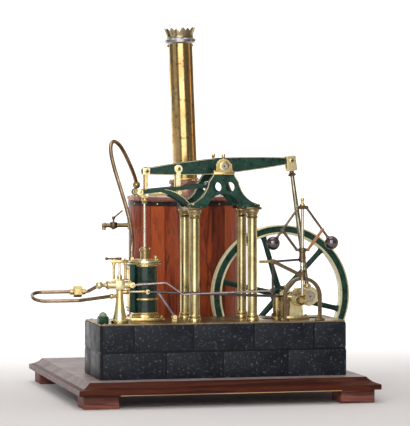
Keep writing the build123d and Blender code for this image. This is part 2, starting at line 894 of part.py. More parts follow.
def piston_rod():
    x, z = cylinder_x, on_beam(-beam_half)[1] - link_drop
    inner = beam_thick / 2 + link_gap - face_gap
    rod = Pos(x, mid_y, piston_z) * Cylinder(piston_rod_r, z - piston_z, align=BOTTOM)
    piston = Pos(x, mid_y, piston_z) * Cylinder(cylinder_bore_r - fit, piston_thick, align=BOTTOM)
    head = round_y(x, z, crosshead_r, mid_y - inner, mid_y + inner)
    knob = Pos(x, mid_y, z - knob_drop) * Sphere(knob_r)
    return rod + piston + head + knob


def steam_chest():
    right = cylinder_x
    wide = right - chest_left_x
    middle_z = (chest_low_z + cylinder_top_z) / 2
    tall = cylinder_top_z - chest_low_z
    box = Pos(chest_left_x + wide / 2, mid_y, middle_z) * Box(wide, chest_deep, tall)
    box = chamfer(box.edges().group_by(Axis.X)[0], chest_edge)
    door = Box(chest_cover_thick, chest_deep - 2 * chest_cover_margin, tall - 2 * chest_cover_margin)
    box += Pos(chest_left_x, mid_y, middle_z) * door
    clear = Pos(cylinder_x, mid_y, chest_low_z - overrun)
    box -= clear * Cylinder(cylinder_band_r, tall + 2 * overrun, align=BOTTOM)
    return box


def valve_stand():
    foot_top = bed_z + stand_foot_thick
    neck_z = stand_body_z - stand_block / 2
    column = Pos(stand_x, stand_y, 0) * turn(
        (0, bed_z), (stand_foot_r, bed_z), (stand_foot_r, foot_top), (stand_low_r, foot_top),
        (stand_waist_r, stand_waist_z), (stand_collar_r, stand_waist_z), (stand_collar_r, neck_z),
        (0, neck_z))
    block = Pos(stand_x, stand_y, stand_body_z) * Box(stand_block, stand_block, stand_block)
    left, right = stand_x - stand_body_left, stand_x + stand_body_right
    body = bar((left, stand_y, stand_body_z), (right, stand_y, stand_body_z), stand_body_r)
    for x in (left, right - stand_collar_thick):
        collar_end = (x + stand_collar_thick, stand_y, stand_body_z)
        body += bar((x, stand_y, stand_body_z), collar_end, stand_collar_r)
    top_z = stand_body_z + stand_block / 2
    yoke = Pos(stand_x, stand_y, yoke_top_z) * Box(yoke_pitch + 2 * yoke_bridge_thick, yoke_bridge_wide,
                                                   yoke_bridge_thick, align=BOTTOM)
    base = Pos(stand_x, stand_y, top_z) * Box(yoke_pitch + 2 * yoke_bridge_thick, yoke_bridge_wide,
                                              yoke_pillar_r, align=BOTTOM)
    for s in (-1, 1):
        x = stand_x + s * yoke_pitch / 2
        yoke += bar((x, stand_y, top_z), (x, stand_y, yoke_top_z), yoke_pillar_r)
    gland = Pos(stand_x, stand_y, top_z) * Cylinder(valve_gland_r, valve_gland_tall, align=BOTTOM)
    guide_end = (stand_x + valve_guide_length, stand_y, valve_rod_z)
    guide = bar((stand_x, stand_y, valve_rod_z), guide_end, valve_guide_r)
    stub_x = throttle_end_x - throttle_eye_r
    stub = round_y(stub_x, stand_body_z, throttle_stub_r,
                   throttle_y + throttle_eye_thick / 2 + face_gap, stand_y)
    whole = column + block + body + yoke + base + gland + guide + stub
    hole_low = top_z - stand_collar_thick
    whole -= Pos(stand_x, stand_y, hole_low) * Cylinder(valve_spindle_r + fit, yoke_top_z, align=BOTTOM)
    bore_start = (stand_x, stand_y, valve_rod_z)
    bore_end = (stand_x + valve_guide_length + overrun, stand_y, valve_rod_z)
    whole -= bar(bore_start, bore_end, valve_rod_r + fit)
    studs = []
    for k in range(4):
        angle = radians(90 * k + 45)
        r = (stand_foot_r + stand_low_r) / 2
        studs.append(Pos(stand_x + r * cos(angle), stand_y + r * sin(angle), bed_z + stand_foot_thick)
                     * Cylinder(stud_r, stud_height / 2, align=BOTTOM))
    return whole + studs


def valve_handle():
    low = stand_body_z + stand_block / 2
    top = yoke_top_z + yoke_bridge_thick + face_gap
    spindle = Pos(stand_x, stand_y, low) * Cylinder(valve_spindle_r, top - low + handle_rise, align=BOTTOM)
    hub = Pos(stand_x, stand_y, top) * Cylinder(handle_hub_r, 2 * handle_r, align=BOTTOM)
    z = top + handle_r
    arm = bar((stand_x, stand_y, z), (stand_x - handle_length, stand_y, z), handle_r)
    knob = Pos(stand_x - handle_length, stand_y, z) * Rot(0, 90, 0) * Sphere(handle_knob_r)
    return spindle + hub + arm + knob


def lubricator():
    box = Box(lubricator_side, lubricator_side, lubricator_tall, align=BOTTOM)
    box = Pos(lubricator_x, lubricator_y, bed_z) * box
    box = fillet(box.edges().filter_by(Axis.Z), lubricator_cap_r / 3)
    cap = Pos(lubricator_x, lubricator_y, bed_z + lubricator_tall) * Sphere(lubricator_cap_r)
    reach = lubricator_side / 3
    screw = Pos(lubricator_x, lubricator_y - reach, bed_z + lubricator_tall)
    screw *= Cylinder(stud_r, stud_height / 2, align=BOTTOM)
    screws = [Pos(s * reach, 0, 0) * screw for s in (-1, 1)]
    return box + cap + screws


def rocker_y():
    """The near face of the valve rocker."""
    return eccentric_y + joint_eye_thick / 2 + rocker_gap


def pipe_loop():
    start_x = stand_x - stand_body_left
    far = [
        (start_x, stand_y, stand_body_z), (dome_x, stand_y, stand_body_z),
        (loop_turn_x, loop_far_y, loop_far_z), (loop_left_x, loop_far_y, loop_far_z),
        (loop_left_x, loop_near_y, loop_near_z), (loop_rise_x, loop_near_y, loop_near_z),
        (elbow_x, stand_y, loop_end_z), (stand_x, stand_y, loop_end_z),
    ]
    soft, wide = loop_soft_bend, loop_bend
    tube = pipe(far, (soft, soft, wide, wide, soft, soft / 2), pipe_r)
    nut_x = loop_union_x - union_long / 2
    nut_face = Plane(origin=(nut_x, loop_far_y, loop_far_z), x_dir=(0, 1, 0), z_dir=(1, 0, 0))
    tube += extrude(nut_face * RegularPolygon(union_r, 6), amount=union_long)
    necks = (nut_x - union_neck_long, nut_x + union_long)
    for x in necks:
        tube += bar((x, loop_far_y, loop_far_z), (x + union_neck_long, loop_far_y, loop_far_z), union_neck_r)
    tube += Pos(dome_x, stand_y, stand_body_z) * Rot(0, 90, 0) * Sphere(dome_r)
    tube += Pos(elbow_x, stand_y, loop_end_z) * Rot(0, 90, 0) * Sphere(elbow_r)
    return tube - valve_stand()


def steam_pipe():
    end_z = cylinder_top_z + cover_thick
    points = [
        (steam_union_x, steam_union_y, boiler_top_z), (steam_union_x, steam_union_y, steam_union_z),
        (steam_apex_x, steam_apex_y, steam_apex_z), (steam_fall_x, steam_fall_y, steam_fall_z),
        (steam_mid_x, steam_mid_y, steam_mid_z), (steam_low_x, steam_low_y, steam_low_z),
        (steam_end_x, steam_end_y, end_z + steam_end_rise), (steam_end_x, steam_end_y, end_z),
    ]
    tight, wide = steam_tight_bend, steam_wide_bend
    tube = pipe(points, (tight, tight, wide, wide, wide, tight), pipe_r)
    foot = Pos(steam_union_x, steam_union_y, boiler_top_z)
    tube += foot * Cylinder(steam_boss_r, (steam_union_z - boiler_top_z) / 2, align=BOTTOM)
    tube += Pos(steam_union_x, steam_union_y, steam_union_z) * Sphere(steam_boss_r)
    nut = extrude(RegularPolygon(steam_nut_r, 6), amount=steam_nut_tall)
    tube += Pos(steam_end_x, steam_end_y, end_z) * nut
    return tube


def boiler_lagging():
    place = Pos(boiler_x, boiler_y, 0)
    shell = place * Cylinder(boiler_r, boiler_lag_top_z, align=BOTTOM)
    for z in (hoop_low_z, hoop_high_z):
        shell += place * Pos(0, 0, z) * Cylinder(boiler_r + hoop_proud, hoop_tall, align=BOTTOM)
    hollow = place * Pos(0, 0, boiler_wall) * Cylinder(boiler_r - boiler_wall, boiler_lag_top_z, align=BOTTOM)
    return shell - hollow


def boiler_top():
    body = Pos(boiler_x, boiler_y, 0) * turn(
        (0, boiler_lag_top_z), (boiler_rim_r, boiler_lag_top_z), (boiler_rim_r, boiler_top_z),
        (smokebox_low_r, boiler_top_z), (smokebox_high_r, smokebox_top_z), (stack_flange_r, smokebox_top_z),
        (stack_flange_r, stack_foot_z), (0, stack_foot_z))
    flue = Cylinder(flue_r, 2 * (stack_foot_z - boiler_lag_top_z))
    return body - Pos(boiler_x, boiler_y, stack_foot_z) * flue


def on_stack(height):
    """The chimney's place at a height above its foot, leaning to the left."""
    lean = Rot(0, -stack_lean, 0)
    return Pos(stack_foot_x, boiler_y, stack_foot_z) * lean * Pos(0, 0, height)


def stack_length():
    return (stack_top_z - stack_foot_z) / cos(radians(stack_lean))


def chimney():
    tall = stack_length()
    tube = on_stack(-overrun) * Cylinder(stack_r, tall + overrun, align=BOTTOM)
    tube += on_stack(tall - stack_ring_tall) * Cylinder(stack_ring_r, stack_ring_tall, align=BOTTOM)
    tube -= on_stack(-2 * overrun) * Cylinder(flue_r, tall + 4 * overrun, align=BOTTOM)
    below = Box(4 * stack_r, 4 * stack_r, 4 * overrun, align=(Align.CENTER, Align.CENTER, Align.MAX))
    return tube - Pos(stack_foot_x, boiler_y, stack_foot_z) * below


def chimney_crown():
    cup = turn(
        (flue_r, 0), (crown_base_r, 0), (crown_base_r, crown_band_tall), (crown_tip_r, crown_tall),
        (crown_tip_r - crown_wall, crown_tall), (crown_base_r - crown_wall, crown_band_tall),
        (flue_r, crown_band_tall))
    notch_low = crown_tall * (1 - crown_notch_share)
    width = crown_tip_r / crown_petals
    face = Polygon((-width, crown_tall + overrun), (width, crown_tall + overrun), (0, notch_low), align=None)
    cutter = slab(face, 0, 2 * crown_tip_r)
    for k in range(crown_petals):
        cup -= Rot(0, 0, 360 * (k + 1 / 2) / crown_petals) * cutter
    return on_stack(stack_length()) * cup


def boiler_cock():
    y = boiler_y
    skin_x = boiler_x - boiler_r
    tube = bar((cock_spout_x, y, cock_z), (skin_x + overrun, y, cock_z), cock_tube_r)
    tube += bar((skin_x - cock_flange_thick, y, cock_z), (skin_x + overrun, y, cock_z), cock_flange_r)
    low = cock_z - cock_body_tall / 2
    tube += Pos(cock_plug_x, y, low) * Cylinder(cock_body_r, cock_body_tall, align=BOTTOM)
    spout_low = cock_z - cock_tube_r - cock_spout_drop
    spout = Pos(cock_spout_x + cock_spout_r, y, spout_low)
    tube += spout * Cylinder(cock_spout_r, cock_z - spout_low, align=BOTTOM)
    tube -= spout * Pos(0, 0, -overrun) * Cylinder(cock_bore_r, cock_spout_drop + 2 * overrun, align=BOTTOM)
    skin = Pos(boiler_x, boiler_y, 0) * Cylinder(boiler_r, boiler_lag_top_z, align=BOTTOM)
    return tube - skin


def cock_handle():
    y = boiler_y
    low = cock_z + cock_body_tall / 2
    stem = Pos(cock_plug_x, y, low) * Cylinder(cock_ball_r / 2, cock_ball_z - low, align=BOTTOM)
    ball = Pos(cock_plug_x, y, cock_ball_z) * Sphere(cock_ball_r)
    tip = (cock_plug_x + cock_lever_reach, y, cock_ball_z + cock_lever_rise)
    lever = bar((cock_plug_x, y, cock_ball_z), tip, cock_lever_r)
    return stem + ball + lever + Pos(*tip) * Sphere(cock_lever_r)


def crank_pin():
    """The crank pin's place in X and Z at rest."""
    lean = radians(crank_angle)
    return shaft_x + crank_throw * cos(lean), shaft_z + crank_throw * sin(lean)


def sheave_centre():
    """The middle of the eccentric, a quarter turn ahead of the crank."""
    lean = radians(crank_angle)
    return shaft_x - eccentric_throw * sin(lean), shaft_z + eccentric_throw * cos(lean)


def crank_bearings():
    pieces = []
    for y in (front_bearing_y, rear_bearing_y):
        y0, y1 = y - pedestal_deep / 2, y + pedestal_deep / 2
        face = bearing_face(bed_z, shaft_z, pedestal_low_wide, pedestal_high_wide, pedestal_cap_r)
        one = Pos(shaft_x, 0, 0) * slab(face, y0, y1)
        foot = Box(pedestal_foot_wide, pedestal_deep, pedestal_foot_thick, align=BOTTOM)
        one += Pos(shaft_x, y, bed_z) * foot
        reach = (pedestal_foot_wide + pedestal_low_wide) / 4
        for s in (-1, 1):
            one += stud(shaft_x + s * reach, y, bed_z + pedestal_foot_thick)
        cup = turn((0, 0), (stud_r, 0), (stud_r, oil_cup_height / 3), (oil_cup_r, oil_cup_height / 2),
                   (oil_cup_r, oil_cup_height), (0, oil_cup_height))
        one += Pos(shaft_x, y, shaft_z + pedestal_cap_r - stud_r) * cup
        pieces.append(one - round_y(shaft_x, shaft_z, shaft_r + fit, y0 - overrun, y1 + overrun))
    return pieces


def feed_pump():
    place = Pos(pump_x, pump_y, 0)
    top = pump_top_z
    return place * turn(
        (0, bed_z), (pump_foot_r, bed_z), (pump_foot_r, bed_z + pump_foot_thick),
        (pump_r - stud_r, bed_z + pump_foot_thick), (pump_r - stud_r, bed_z + 2 * pump_foot_thick),
        (pump_r, bed_z + 2 * pump_foot_thick), (pump_r, top - pump_cap_thick),
        (pump_r + pump_lip, top - pump_cap_thick), (pump_r + pump_lip, top), (pump_r / 2, top),
        (pump_r / 2, top + pump_cap_thick), (0, top + pump_cap_thick))


def flywheel():
    y0 = plinth_depth + wheel_gap
    y1 = y0 + rim_wide
    middle = (y0 + y1) / 2
    wheel = round_y(0, 0, wheel_r, y0, y1) - round_y(0, 0, wheel_r - rim_deep, y0 - overrun, y1 + overrun)
    outer, inner = wheel_r - rim_lip, wheel_r - rim_deep + rim_lip
    for low, high in ((y0 - overrun, y0 + rim_recess), (y1 - rim_recess, y1 + overrun)):
        wheel -= round_y(0, 0, outer, low, high) - round_y(0, 0, inner, low, high)
    for k in range(spokes):
        reach = wheel_r - rim_deep / 2
        spoke = Box(reach, spoke_thick, spoke_wide, align=LOW_X)
        wheel += Pos(0, middle, 0) * Rot(0, -spoke_angle - 360 * k / spokes, 0) * spoke
    wheel += round_y(0, 0, hub_r, middle - hub_wide / 2, middle + hub_wide / 2)
    wheel -= round_y(0, 0, shaft_r, middle - hub_wide, middle + hub_wide)
    return Pos(shaft_x, 0, shaft_z) * wheel


def crankshaft():
    pin = crank_pin()
    inner = big_end_thick / 2 + big_end_proud + web_gap
    face = strap((shaft_x, shaft_z), pin, web_shaft_r, web_pin_r, 2 * web_pin_r)
    gear_y = governor_y + gear_r
    front = round_y(shaft_x, shaft_z, shaft_r, gear_y - gear_face / 2, mid_y - inner)
    front += slab(face, mid_y - inner - web_thick, mid_y - inner)
    front += round_y(*sheave_centre(), sheave_r, eccentric_y - strap_thick / 2 - sheave_proud,
                     eccentric_y + strap_thick / 2 + sheave_proud)
    small, large = gear_r - gear_gap - gear_face, gear_r - gear_gap
    cone = Cone(small, large, gear_face, align=BOTTOM)
    cone += Pos(0, 0, gear_face) * Cylinder(large, gear_hub, align=BOTTOM)
    front += Pos(shaft_x, gear_y - gear_face, shaft_z) * Rot(-90, 0, 0) * cone
    rear = round_y(shaft_x, shaft_z, shaft_r, mid_y + inner, shaft_end_y)
    rear += slab(face, mid_y + inner, mid_y + inner + web_thick)
    return [front, rear]


def connecting_rod():
    top = on_beam(beam_half)
    low = crank_pin()
    run = hypot(top[0] - low[0], top[1] - low[1])
    lean = degrees(atan2(top[0] - low[0], top[1] - low[1]))
    half = beam_thick / 2 + fork_gap
    hub = big_end_thick / 2 + big_end_proud
    rod = round_y(0, 0, big_end_r, -big_end_thick / 2, big_end_thick / 2)
    rod += round_y(0, 0, big_end_hub_r, -hub, hub)
    collar_z = run - fork_drop
    middle_z = run / 2
    rod += Cone(rod_end_r, rod_middle_r, middle_z, align=BOTTOM)
    rod += Pos(0, 0, middle_z) * Cone(rod_middle_r, rod_end_r, collar_z - middle_z, align=BOTTOM)
    rod += Pos(0, 0, collar_z - fork_collar_thick) * Cylinder(fork_collar_r, fork_collar_thick, align=BOTTOM)
    block_z = run + fork_eye_r - fork_block_tall
    rod += Pos(0, 0, collar_z) * Cylinder(rod_end_r, block_z - collar_z + fork_thick, align=BOTTOM)
    shoulder = Box(2 * (fork_eye_r - fork_corner), 2 * (half + fork_thick), fork_thick, align=BOTTOM)
    rod += Pos(0, 0, block_z) * shoulder
    for s in (-1, 1):
        y0, y1 = sorted((s * half, s * (half + fork_thick)))
        tine = slab(Pos(0, run + fork_eye_r - fork_block_tall / 2)
                    * RectangleRounded(2 * fork_eye_r, fork_block_tall, fork_corner), y0, y1)
        rod += tine - round_y(0, run, pin_r + fit, y0 - overrun, y1 + overrun)
    return Pos(low[0], mid_y, low[1]) * Rot(0, lean, 0) * rod


def eccentric_strap():
    centre = sheave_centre()
    end = (joint_x, valve_rod_z)
    y0, y1 = eccentric_y - strap_thick / 2, eccentric_y + strap_thick / 2
    ring = round_y(*centre, strap_r, y0, y1)
    ring += bar((centre[0], eccentric_y, centre[1]), (end[0], eccentric_y, end[1]), eccentric_rod_r)
    ring += round_y(*end, joint_eye_r, eccentric_y - joint_eye_thick / 2, eccentric_y + joint_eye_thick / 2)
    return ring - round_y(*centre, sheave_r + 2 * fit, y0 - overrun, y1 + overrun)


def valve_rocker():
    y0 = rocker_y()
    foot, top = (rocker_foot_x, rocker_foot_z), (rocker_top_x, rocker_top_z)
    face = strap(foot, top, rocker_lug_wide / 2, rocker_eye_r, rocker_width)
    one = slab(face, y0, y0 + rocker_thick)
    return one - round_y(rocker_foot_x, rocker_foot_z, low_pin_r + fit, y0 - overrun, y0 + 2 * overrun)


def valve_rod():
    low_x = stand_x + valve_guide_length / 3
    rod = bar((low_x, stand_y, valve_rod_z), (joint_x, stand_y, valve_rod_z), valve_rod_r)
    head_y = eccentric_y + joint_eye_thick / 2 + face_gap
    return rod + round_y(joint_x, valve_rod_z, joint_eye_r, head_y, stand_y + valve_rod_r)


def governor_stand():
    y0, y1 = governor_y - arch_thick / 2, governor_y + arch_thick / 2
    leg_wide = arch_outer_r - arch_inner_r
    middle = (arch_outer_r + arch_inner_r) / 2
    ring = Pos(0, arch_z) * (Circle(arch_outer_r) - Circle(arch_inner_r))
    upper = Pos(0, arch_z + arch_outer_r) * Rectangle(4 * arch_outer_r, 2 * arch_outer_r)
    face = ring & upper
    for s in (-1, 1):
        face += Pos(s * middle, (bed_z + arch_z) / 2) * Rectangle(leg_wide, arch_z - bed_z)
        face += Pos(s * middle, bed_z + arch_foot_thick / 2) * Rectangle(arch_foot_wide, arch_foot_thick)
    start = (0, lever_arm_low_z)
    face += strap(start, (lever_x - shaft_x, lever_z), lever_arm_wide / 2, lever_hub_r, lever_arm_wide)
    stand = slab(face, y0, y1)
    boss_low = arch_z + arch_inner_r
    boss = Cylinder(governor_boss_r, governor_boss_top_z - boss_low, align=BOTTOM)
    stand += Pos(0, governor_y, boss_low) * boss
    stand += round_y(lever_x - shaft_x, lever_z, lever_pivot_r, y1, lever_y + lever_thick + face_gap)
    stand -= Pos(0, governor_y, arch_z) * Cylinder(spindle_r + fit, lever_z, align=BOTTOM)
    return Pos(shaft_x, 0, 0) * stand


def governor_joint(side):
    """The joint on a governor arm in X and Z from the spindle, and the ball's place."""
    lean = radians(arm_spread)
    joint = (side * (arm_pivot_x + arm_joint * sin(lean)), arm_pivot_z - arm_joint * cos(lean))
    ball = (side * (arm_pivot_x + arm_ball * sin(lean)), arm_pivot_z - arm_ball * cos(lean))
    return joint, ball


def governor_spindle():
    gear_z = shaft_z + gear_r
    low = gear_z - gear_face
    small, large = gear_r - gear_gap - gear_face, gear_r - gear_gap
    one = Pos(0, 0, low) * Cone(small, large, gear_face, align=BOTTOM)
    one += Pos(0, 0, gear_z) * Cylinder(large, gear_hub, align=BOTTOM)
    one += Pos(0, 0, gear_z) * Cylinder(spindle_r, finial_z - gear_z, align=BOTTOM)
    collar_low = governor_boss_top_z + face_gap
    one += Pos(0, 0, collar_low) * Cylinder(spindle_low_r, spindle_low_top_z - collar_low, align=BOTTOM)
    one += Pos(0, 0, finial_z) * Sphere(finial_r)
    one += Pos(0, 0, arm_pivot_z + arm_eye_r) * Cylinder(head_r, head_tall, align=BOTTOM)
    inner = arm_eye_thick / 2 + cheek_gap
    face = strap((-arm_pivot_x, arm_pivot_z), (arm_pivot_x, arm_pivot_z), arm_eye_r, arm_eye_r, 2 * arm_eye_r)
    for y0 in (-inner - cheek_thick, inner):
        one += slab(face, y0, y0 + cheek_thick)
    for s in (-1, 1):
        one += round_y(s * arm_pivot_x, arm_pivot_z, arm_pin_r, -inner, inner)
    return Pos(shaft_x, governor_y, 0) * one


def governor_arm(side):
    joint, ball = governor_joint(side)
    half = arm_eye_thick / 2
    one = bar((side * arm_pivot_x, 0, arm_pivot_z), (ball[0], 0, ball[1]), arm_r)
    one += round_y(side * arm_pivot_x, arm_pivot_z, arm_eye_r, -half, half)
    one += round_y(*joint, arm_eye_r, -half, half)
    reach = half + strap_gap + lower_link_thick + strap_gap
    one += round_y(*joint, lower_pin_r, -reach, reach)
    one += Pos(ball[0], 0, ball[1]) * Sphere(ball_r)
    one -= round_y(side * arm_pivot_x, arm_pivot_z, arm_pin_r + fit, -overrun, overrun)
    return Pos(shaft_x, governor_y, 0) * one


def governor_link(side):
    joint = governor_joint(side)[0]
    end = (side * sleeve_pin_x, sleeve_pin_z)
    y0 = arm_eye_thick / 2 + strap_gap
    face = strap(joint, end, lower_eye_r, lower_eye_r, lower_link_width)
    face -= Pos(*joint) * Circle(lower_pin_r + fit)
    face -= Pos(*end) * Circle(lower_pin_r + lower_slack)
    place = Pos(shaft_x, governor_y, 0)
    return [place * slab(face, y0, y0 + lower_link_thick), place * slab(face, -y0 - lower_link_thick, -y0)]


def governor_sleeve():
    groove_top = sleeve_groove_z + sleeve_groove_tall
    cup_r = spindle_low_r + 4 * fit
    one = turn(
        (cup_r, sleeve_low_z), (sleeve_r, sleeve_low_z), (sleeve_r, sleeve_groove_z),
        (sleeve_groove_r, sleeve_groove_z), (sleeve_groove_r, groove_top), (sleeve_r, groove_top),
        (sleeve_r, sleeve_top_z), (spindle_r + fit, sleeve_top_z), (spindle_r + fit, sleeve_cup_top_z),
        (cup_r, sleeve_cup_top_z))
    half = arm_eye_thick / 2
    bore = Cylinder(spindle_r + 4 * fit, 2 * sleeve_top_z)
    for s in (-1, 1):
        lug = Pos(s * sleeve_pin_x, sleeve_pin_z) * Circle(sleeve_lug_r)
        lug += Pos(s * sleeve_pin_x / 2, sleeve_pin_z) * Rectangle(sleeve_pin_x, 2 * sleeve_lug_r)
        one += slab(lug, -half, half) - bore
        reach = half + strap_gap + lower_link_thick + strap_gap
        one += round_y(s * sleeve_pin_x, sleeve_pin_z, lower_pin_r, -reach, reach)
    return Pos(shaft_x, governor_y, 0) * one


def governor_lever():
    pivot = (lever_x, lever_z)
    tip = (shaft_x, sleeve_groove_z + sleeve_groove_tall / 2)
    foot = (lever_x, lever_foot_z)
    y0, y1 = lever_y, lever_y + lever_thick
    face = strap(pivot, tip, lever_hub_r, lever_width / 2, lever_width)
    face += strap(pivot, foot, lever_hub_r, lever_width, lever_width)
    one = slab(face, y0, y1)
    middle = (y0 + y1) / 2
    tail_end = (lever_x - lever_tail, middle, lever_z)
    one += bar((lever_x, middle, lever_z), tail_end, lever_thick / 2, lever_tail_r)
    one += round_y(*tip, lever_pin_r, governor_y + sleeve_r - lever_bite, y0)
    one += round_y(*foot, lever_foot_pin_r, y1, throttle_y + throttle_eye_thick / 2 + face_gap)
    return one - round_y(*pivot, lever_pivot_r + fit, y0 - overrun, y1 + overrun)


def throttle_rod():
    y = throttle_y
    half = throttle_eye_thick / 2
    points = [
        (lever_x, y, lever_foot_z), (throttle_knee_x, y, throttle_low_z),
        (throttle_high_x, y, throttle_high_z), (throttle_end_x, y, stand_body_z),
    ]
    one = pipe(points, (throttle_bend, throttle_bend), throttle_r)
    for x, z in ((lever_x, lever_foot_z), (throttle_end_x, stand_body_z)):
        one += round_y(x, z, throttle_eye_r, y - half, y + half)
    one -= round_y(lever_x, lever_foot_z, throttle_eye_hole, y - overrun, y + overrun)
    return one


save("baseboard", baseboard())
save("base_feet", *base_feet())
save("plinth", plinth())
save("bedplate", bedplate())
save("columns", *columns())
save("a_frames", *a_frames())
save("beam_bearings", *beam_bearings())
save("motion_brackets", *motion_brackets())
save("cylinder", cylinder())
save("cylinder_cover", cylinder_cover())
save("steam_chest", steam_chest())
save("valve_stand", valve_stand())
save("valve_handle", valve_handle())
save("lubricator", lubricator())
save("steam_pipe", steam_pipe())
save("pipe_loop", pipe_loop())
save("boiler_lagging", boiler_lagging())
save("boiler_top", boiler_top())
save("chimney", chimney())
save("chimney_crown", chimney_crown())
save("boiler_cock", boiler_cock())
save("cock_handle", cock_handle())
save("crank_bearings", *crank_bearings())
save("feed_pump", feed_pump())
save("governor_stand", governor_stand())
save("flywheel", flywheel())
save("crankshaft", *crankshaft())
save("connecting_rod", connecting_rod())
save("beam", beam())
save("main_links", *main_links())
save("back_links", *back_links())
save("parallel_bars", *parallel_bars())
save("radius_rods", *radius_rods())
save("piston_rod", piston_rod())
save("eccentric_strap", eccentric_strap())
save("valve_rocker", valve_rocker())
save("valve_rod", valve_rod())
save("governor_spindle", governor_spindle())
save("governor_arm_right", governor_arm(1))
save("governor_arm_left", governor_arm(-1))
save("governor_link_right", *governor_link(1))
save("governor_link_left", *governor_link(-1))
save("governor_sleeve", governor_sleeve())
save("governor_lever", governor_lever())
save("throttle_rod", throttle_rod())
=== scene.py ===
"""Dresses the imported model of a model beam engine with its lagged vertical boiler.

Sizes are millimetres from the plinth's front left corner on the baseboard's top:
X runs right along the plinth, Y away from its front and Z up.
"""

from __future__ import annotations

import logging
import math
from dataclasses import dataclass
from enum import Enum
from functools import cache
from typing import Any, Iterable, Sequence

import bmesh
import bpy
from mathutils import Matrix, Quaternion, Vector

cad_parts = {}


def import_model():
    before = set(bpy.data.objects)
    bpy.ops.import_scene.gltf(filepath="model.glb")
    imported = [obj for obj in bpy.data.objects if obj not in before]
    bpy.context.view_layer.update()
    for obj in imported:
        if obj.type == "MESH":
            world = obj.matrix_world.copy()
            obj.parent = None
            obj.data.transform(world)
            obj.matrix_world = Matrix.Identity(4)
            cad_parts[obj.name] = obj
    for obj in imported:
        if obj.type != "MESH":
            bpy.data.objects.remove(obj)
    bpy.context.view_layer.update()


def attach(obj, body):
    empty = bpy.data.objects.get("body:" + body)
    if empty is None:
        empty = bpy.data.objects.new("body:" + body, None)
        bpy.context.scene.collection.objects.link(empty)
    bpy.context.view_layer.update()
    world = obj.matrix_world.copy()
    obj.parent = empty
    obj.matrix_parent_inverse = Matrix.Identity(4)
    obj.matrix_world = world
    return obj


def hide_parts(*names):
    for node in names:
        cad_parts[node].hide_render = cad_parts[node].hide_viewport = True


log = logging.getLogger("beam_engine")

Point = tuple[float, float, float]
Flat = tuple[float, float]
Colour = tuple[float, float, float]
Piece = bpy.types.Object
Socket = bpy.types.NodeSocket
NodeTree = bpy.types.NodeTree

ORIGIN = Vector((140.575, 156.0, -33.5))
MILLIMETRE = 0.001
QUARTER = math.pi / 2
SIDES = (-1, 1)
CORNERS = [(sx, sy) for sx in SIDES for sy in SIDES]


class Body(Enum):
    """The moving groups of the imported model."""

    FRAME = "engine_frame"
    BEAM = "beam"
    MAIN_LINKS = "main_links"
    BACK_LINKS = "back_links"
    PARALLEL_BARS = "parallel_bars"
    RADIUS_RODS = "radius_rods"
    PISTON = "piston"
    CONNECTING_ROD = "connecting_rod"
    CRANKSHAFT = "crankshaft"
    ECCENTRIC = "eccentric_strap"
    ROCKER = "valve_rocker"
    VALVE_ROD = "valve_rod"
    SPINDLE = "governor_spindle"
    ARM_RIGHT = "governor_arm_right"
    ARM_LEFT = "governor_arm_left"
    LINK_RIGHT = "governor_link_right"
    LINK_LEFT = "governor_link_left"
    SLEEVE = "governor_sleeve"
    LEVER = "governor_lever"
    THROTTLE = "throttle_rod"
    COCK = "cock_handle"
    VALVE = "valve_handle"


class Axis(Enum):
    """The direction that a turned piece stands along."""

    X = (1.0, 0.0, 0.0)
    Y = (0.0, 1.0, 0.0)
    Z = (0.0, 0.0, 1.0)


def link(name: str, data: Any) -> Piece:
    """Puts a new object with its data in the scene and returns it.

    Args:
        name: The object's name.
        data: Its mesh, curve, lamp or camera.

    Returns:
        The new object.
    """
    made = bpy.data.objects.new(name, data)
    bpy.context.scene.collection.objects.link(made)
    return made


def worked_out(holder: Piece) -> bpy.types.Mesh:
    """Returns the plain mesh that an object's curve or modifier makes, and removes the object.

    Args:
        holder: The object with the curve or the modifier.

    Returns:
        The plain mesh.
    """
    depsgraph = bpy.context.evaluated_depsgraph_get()
    made = bpy.data.meshes.new_from_object(holder.evaluated_get(depsgraph), depsgraph=depsgraph)
    bpy.data.objects.remove(holder)
    return made


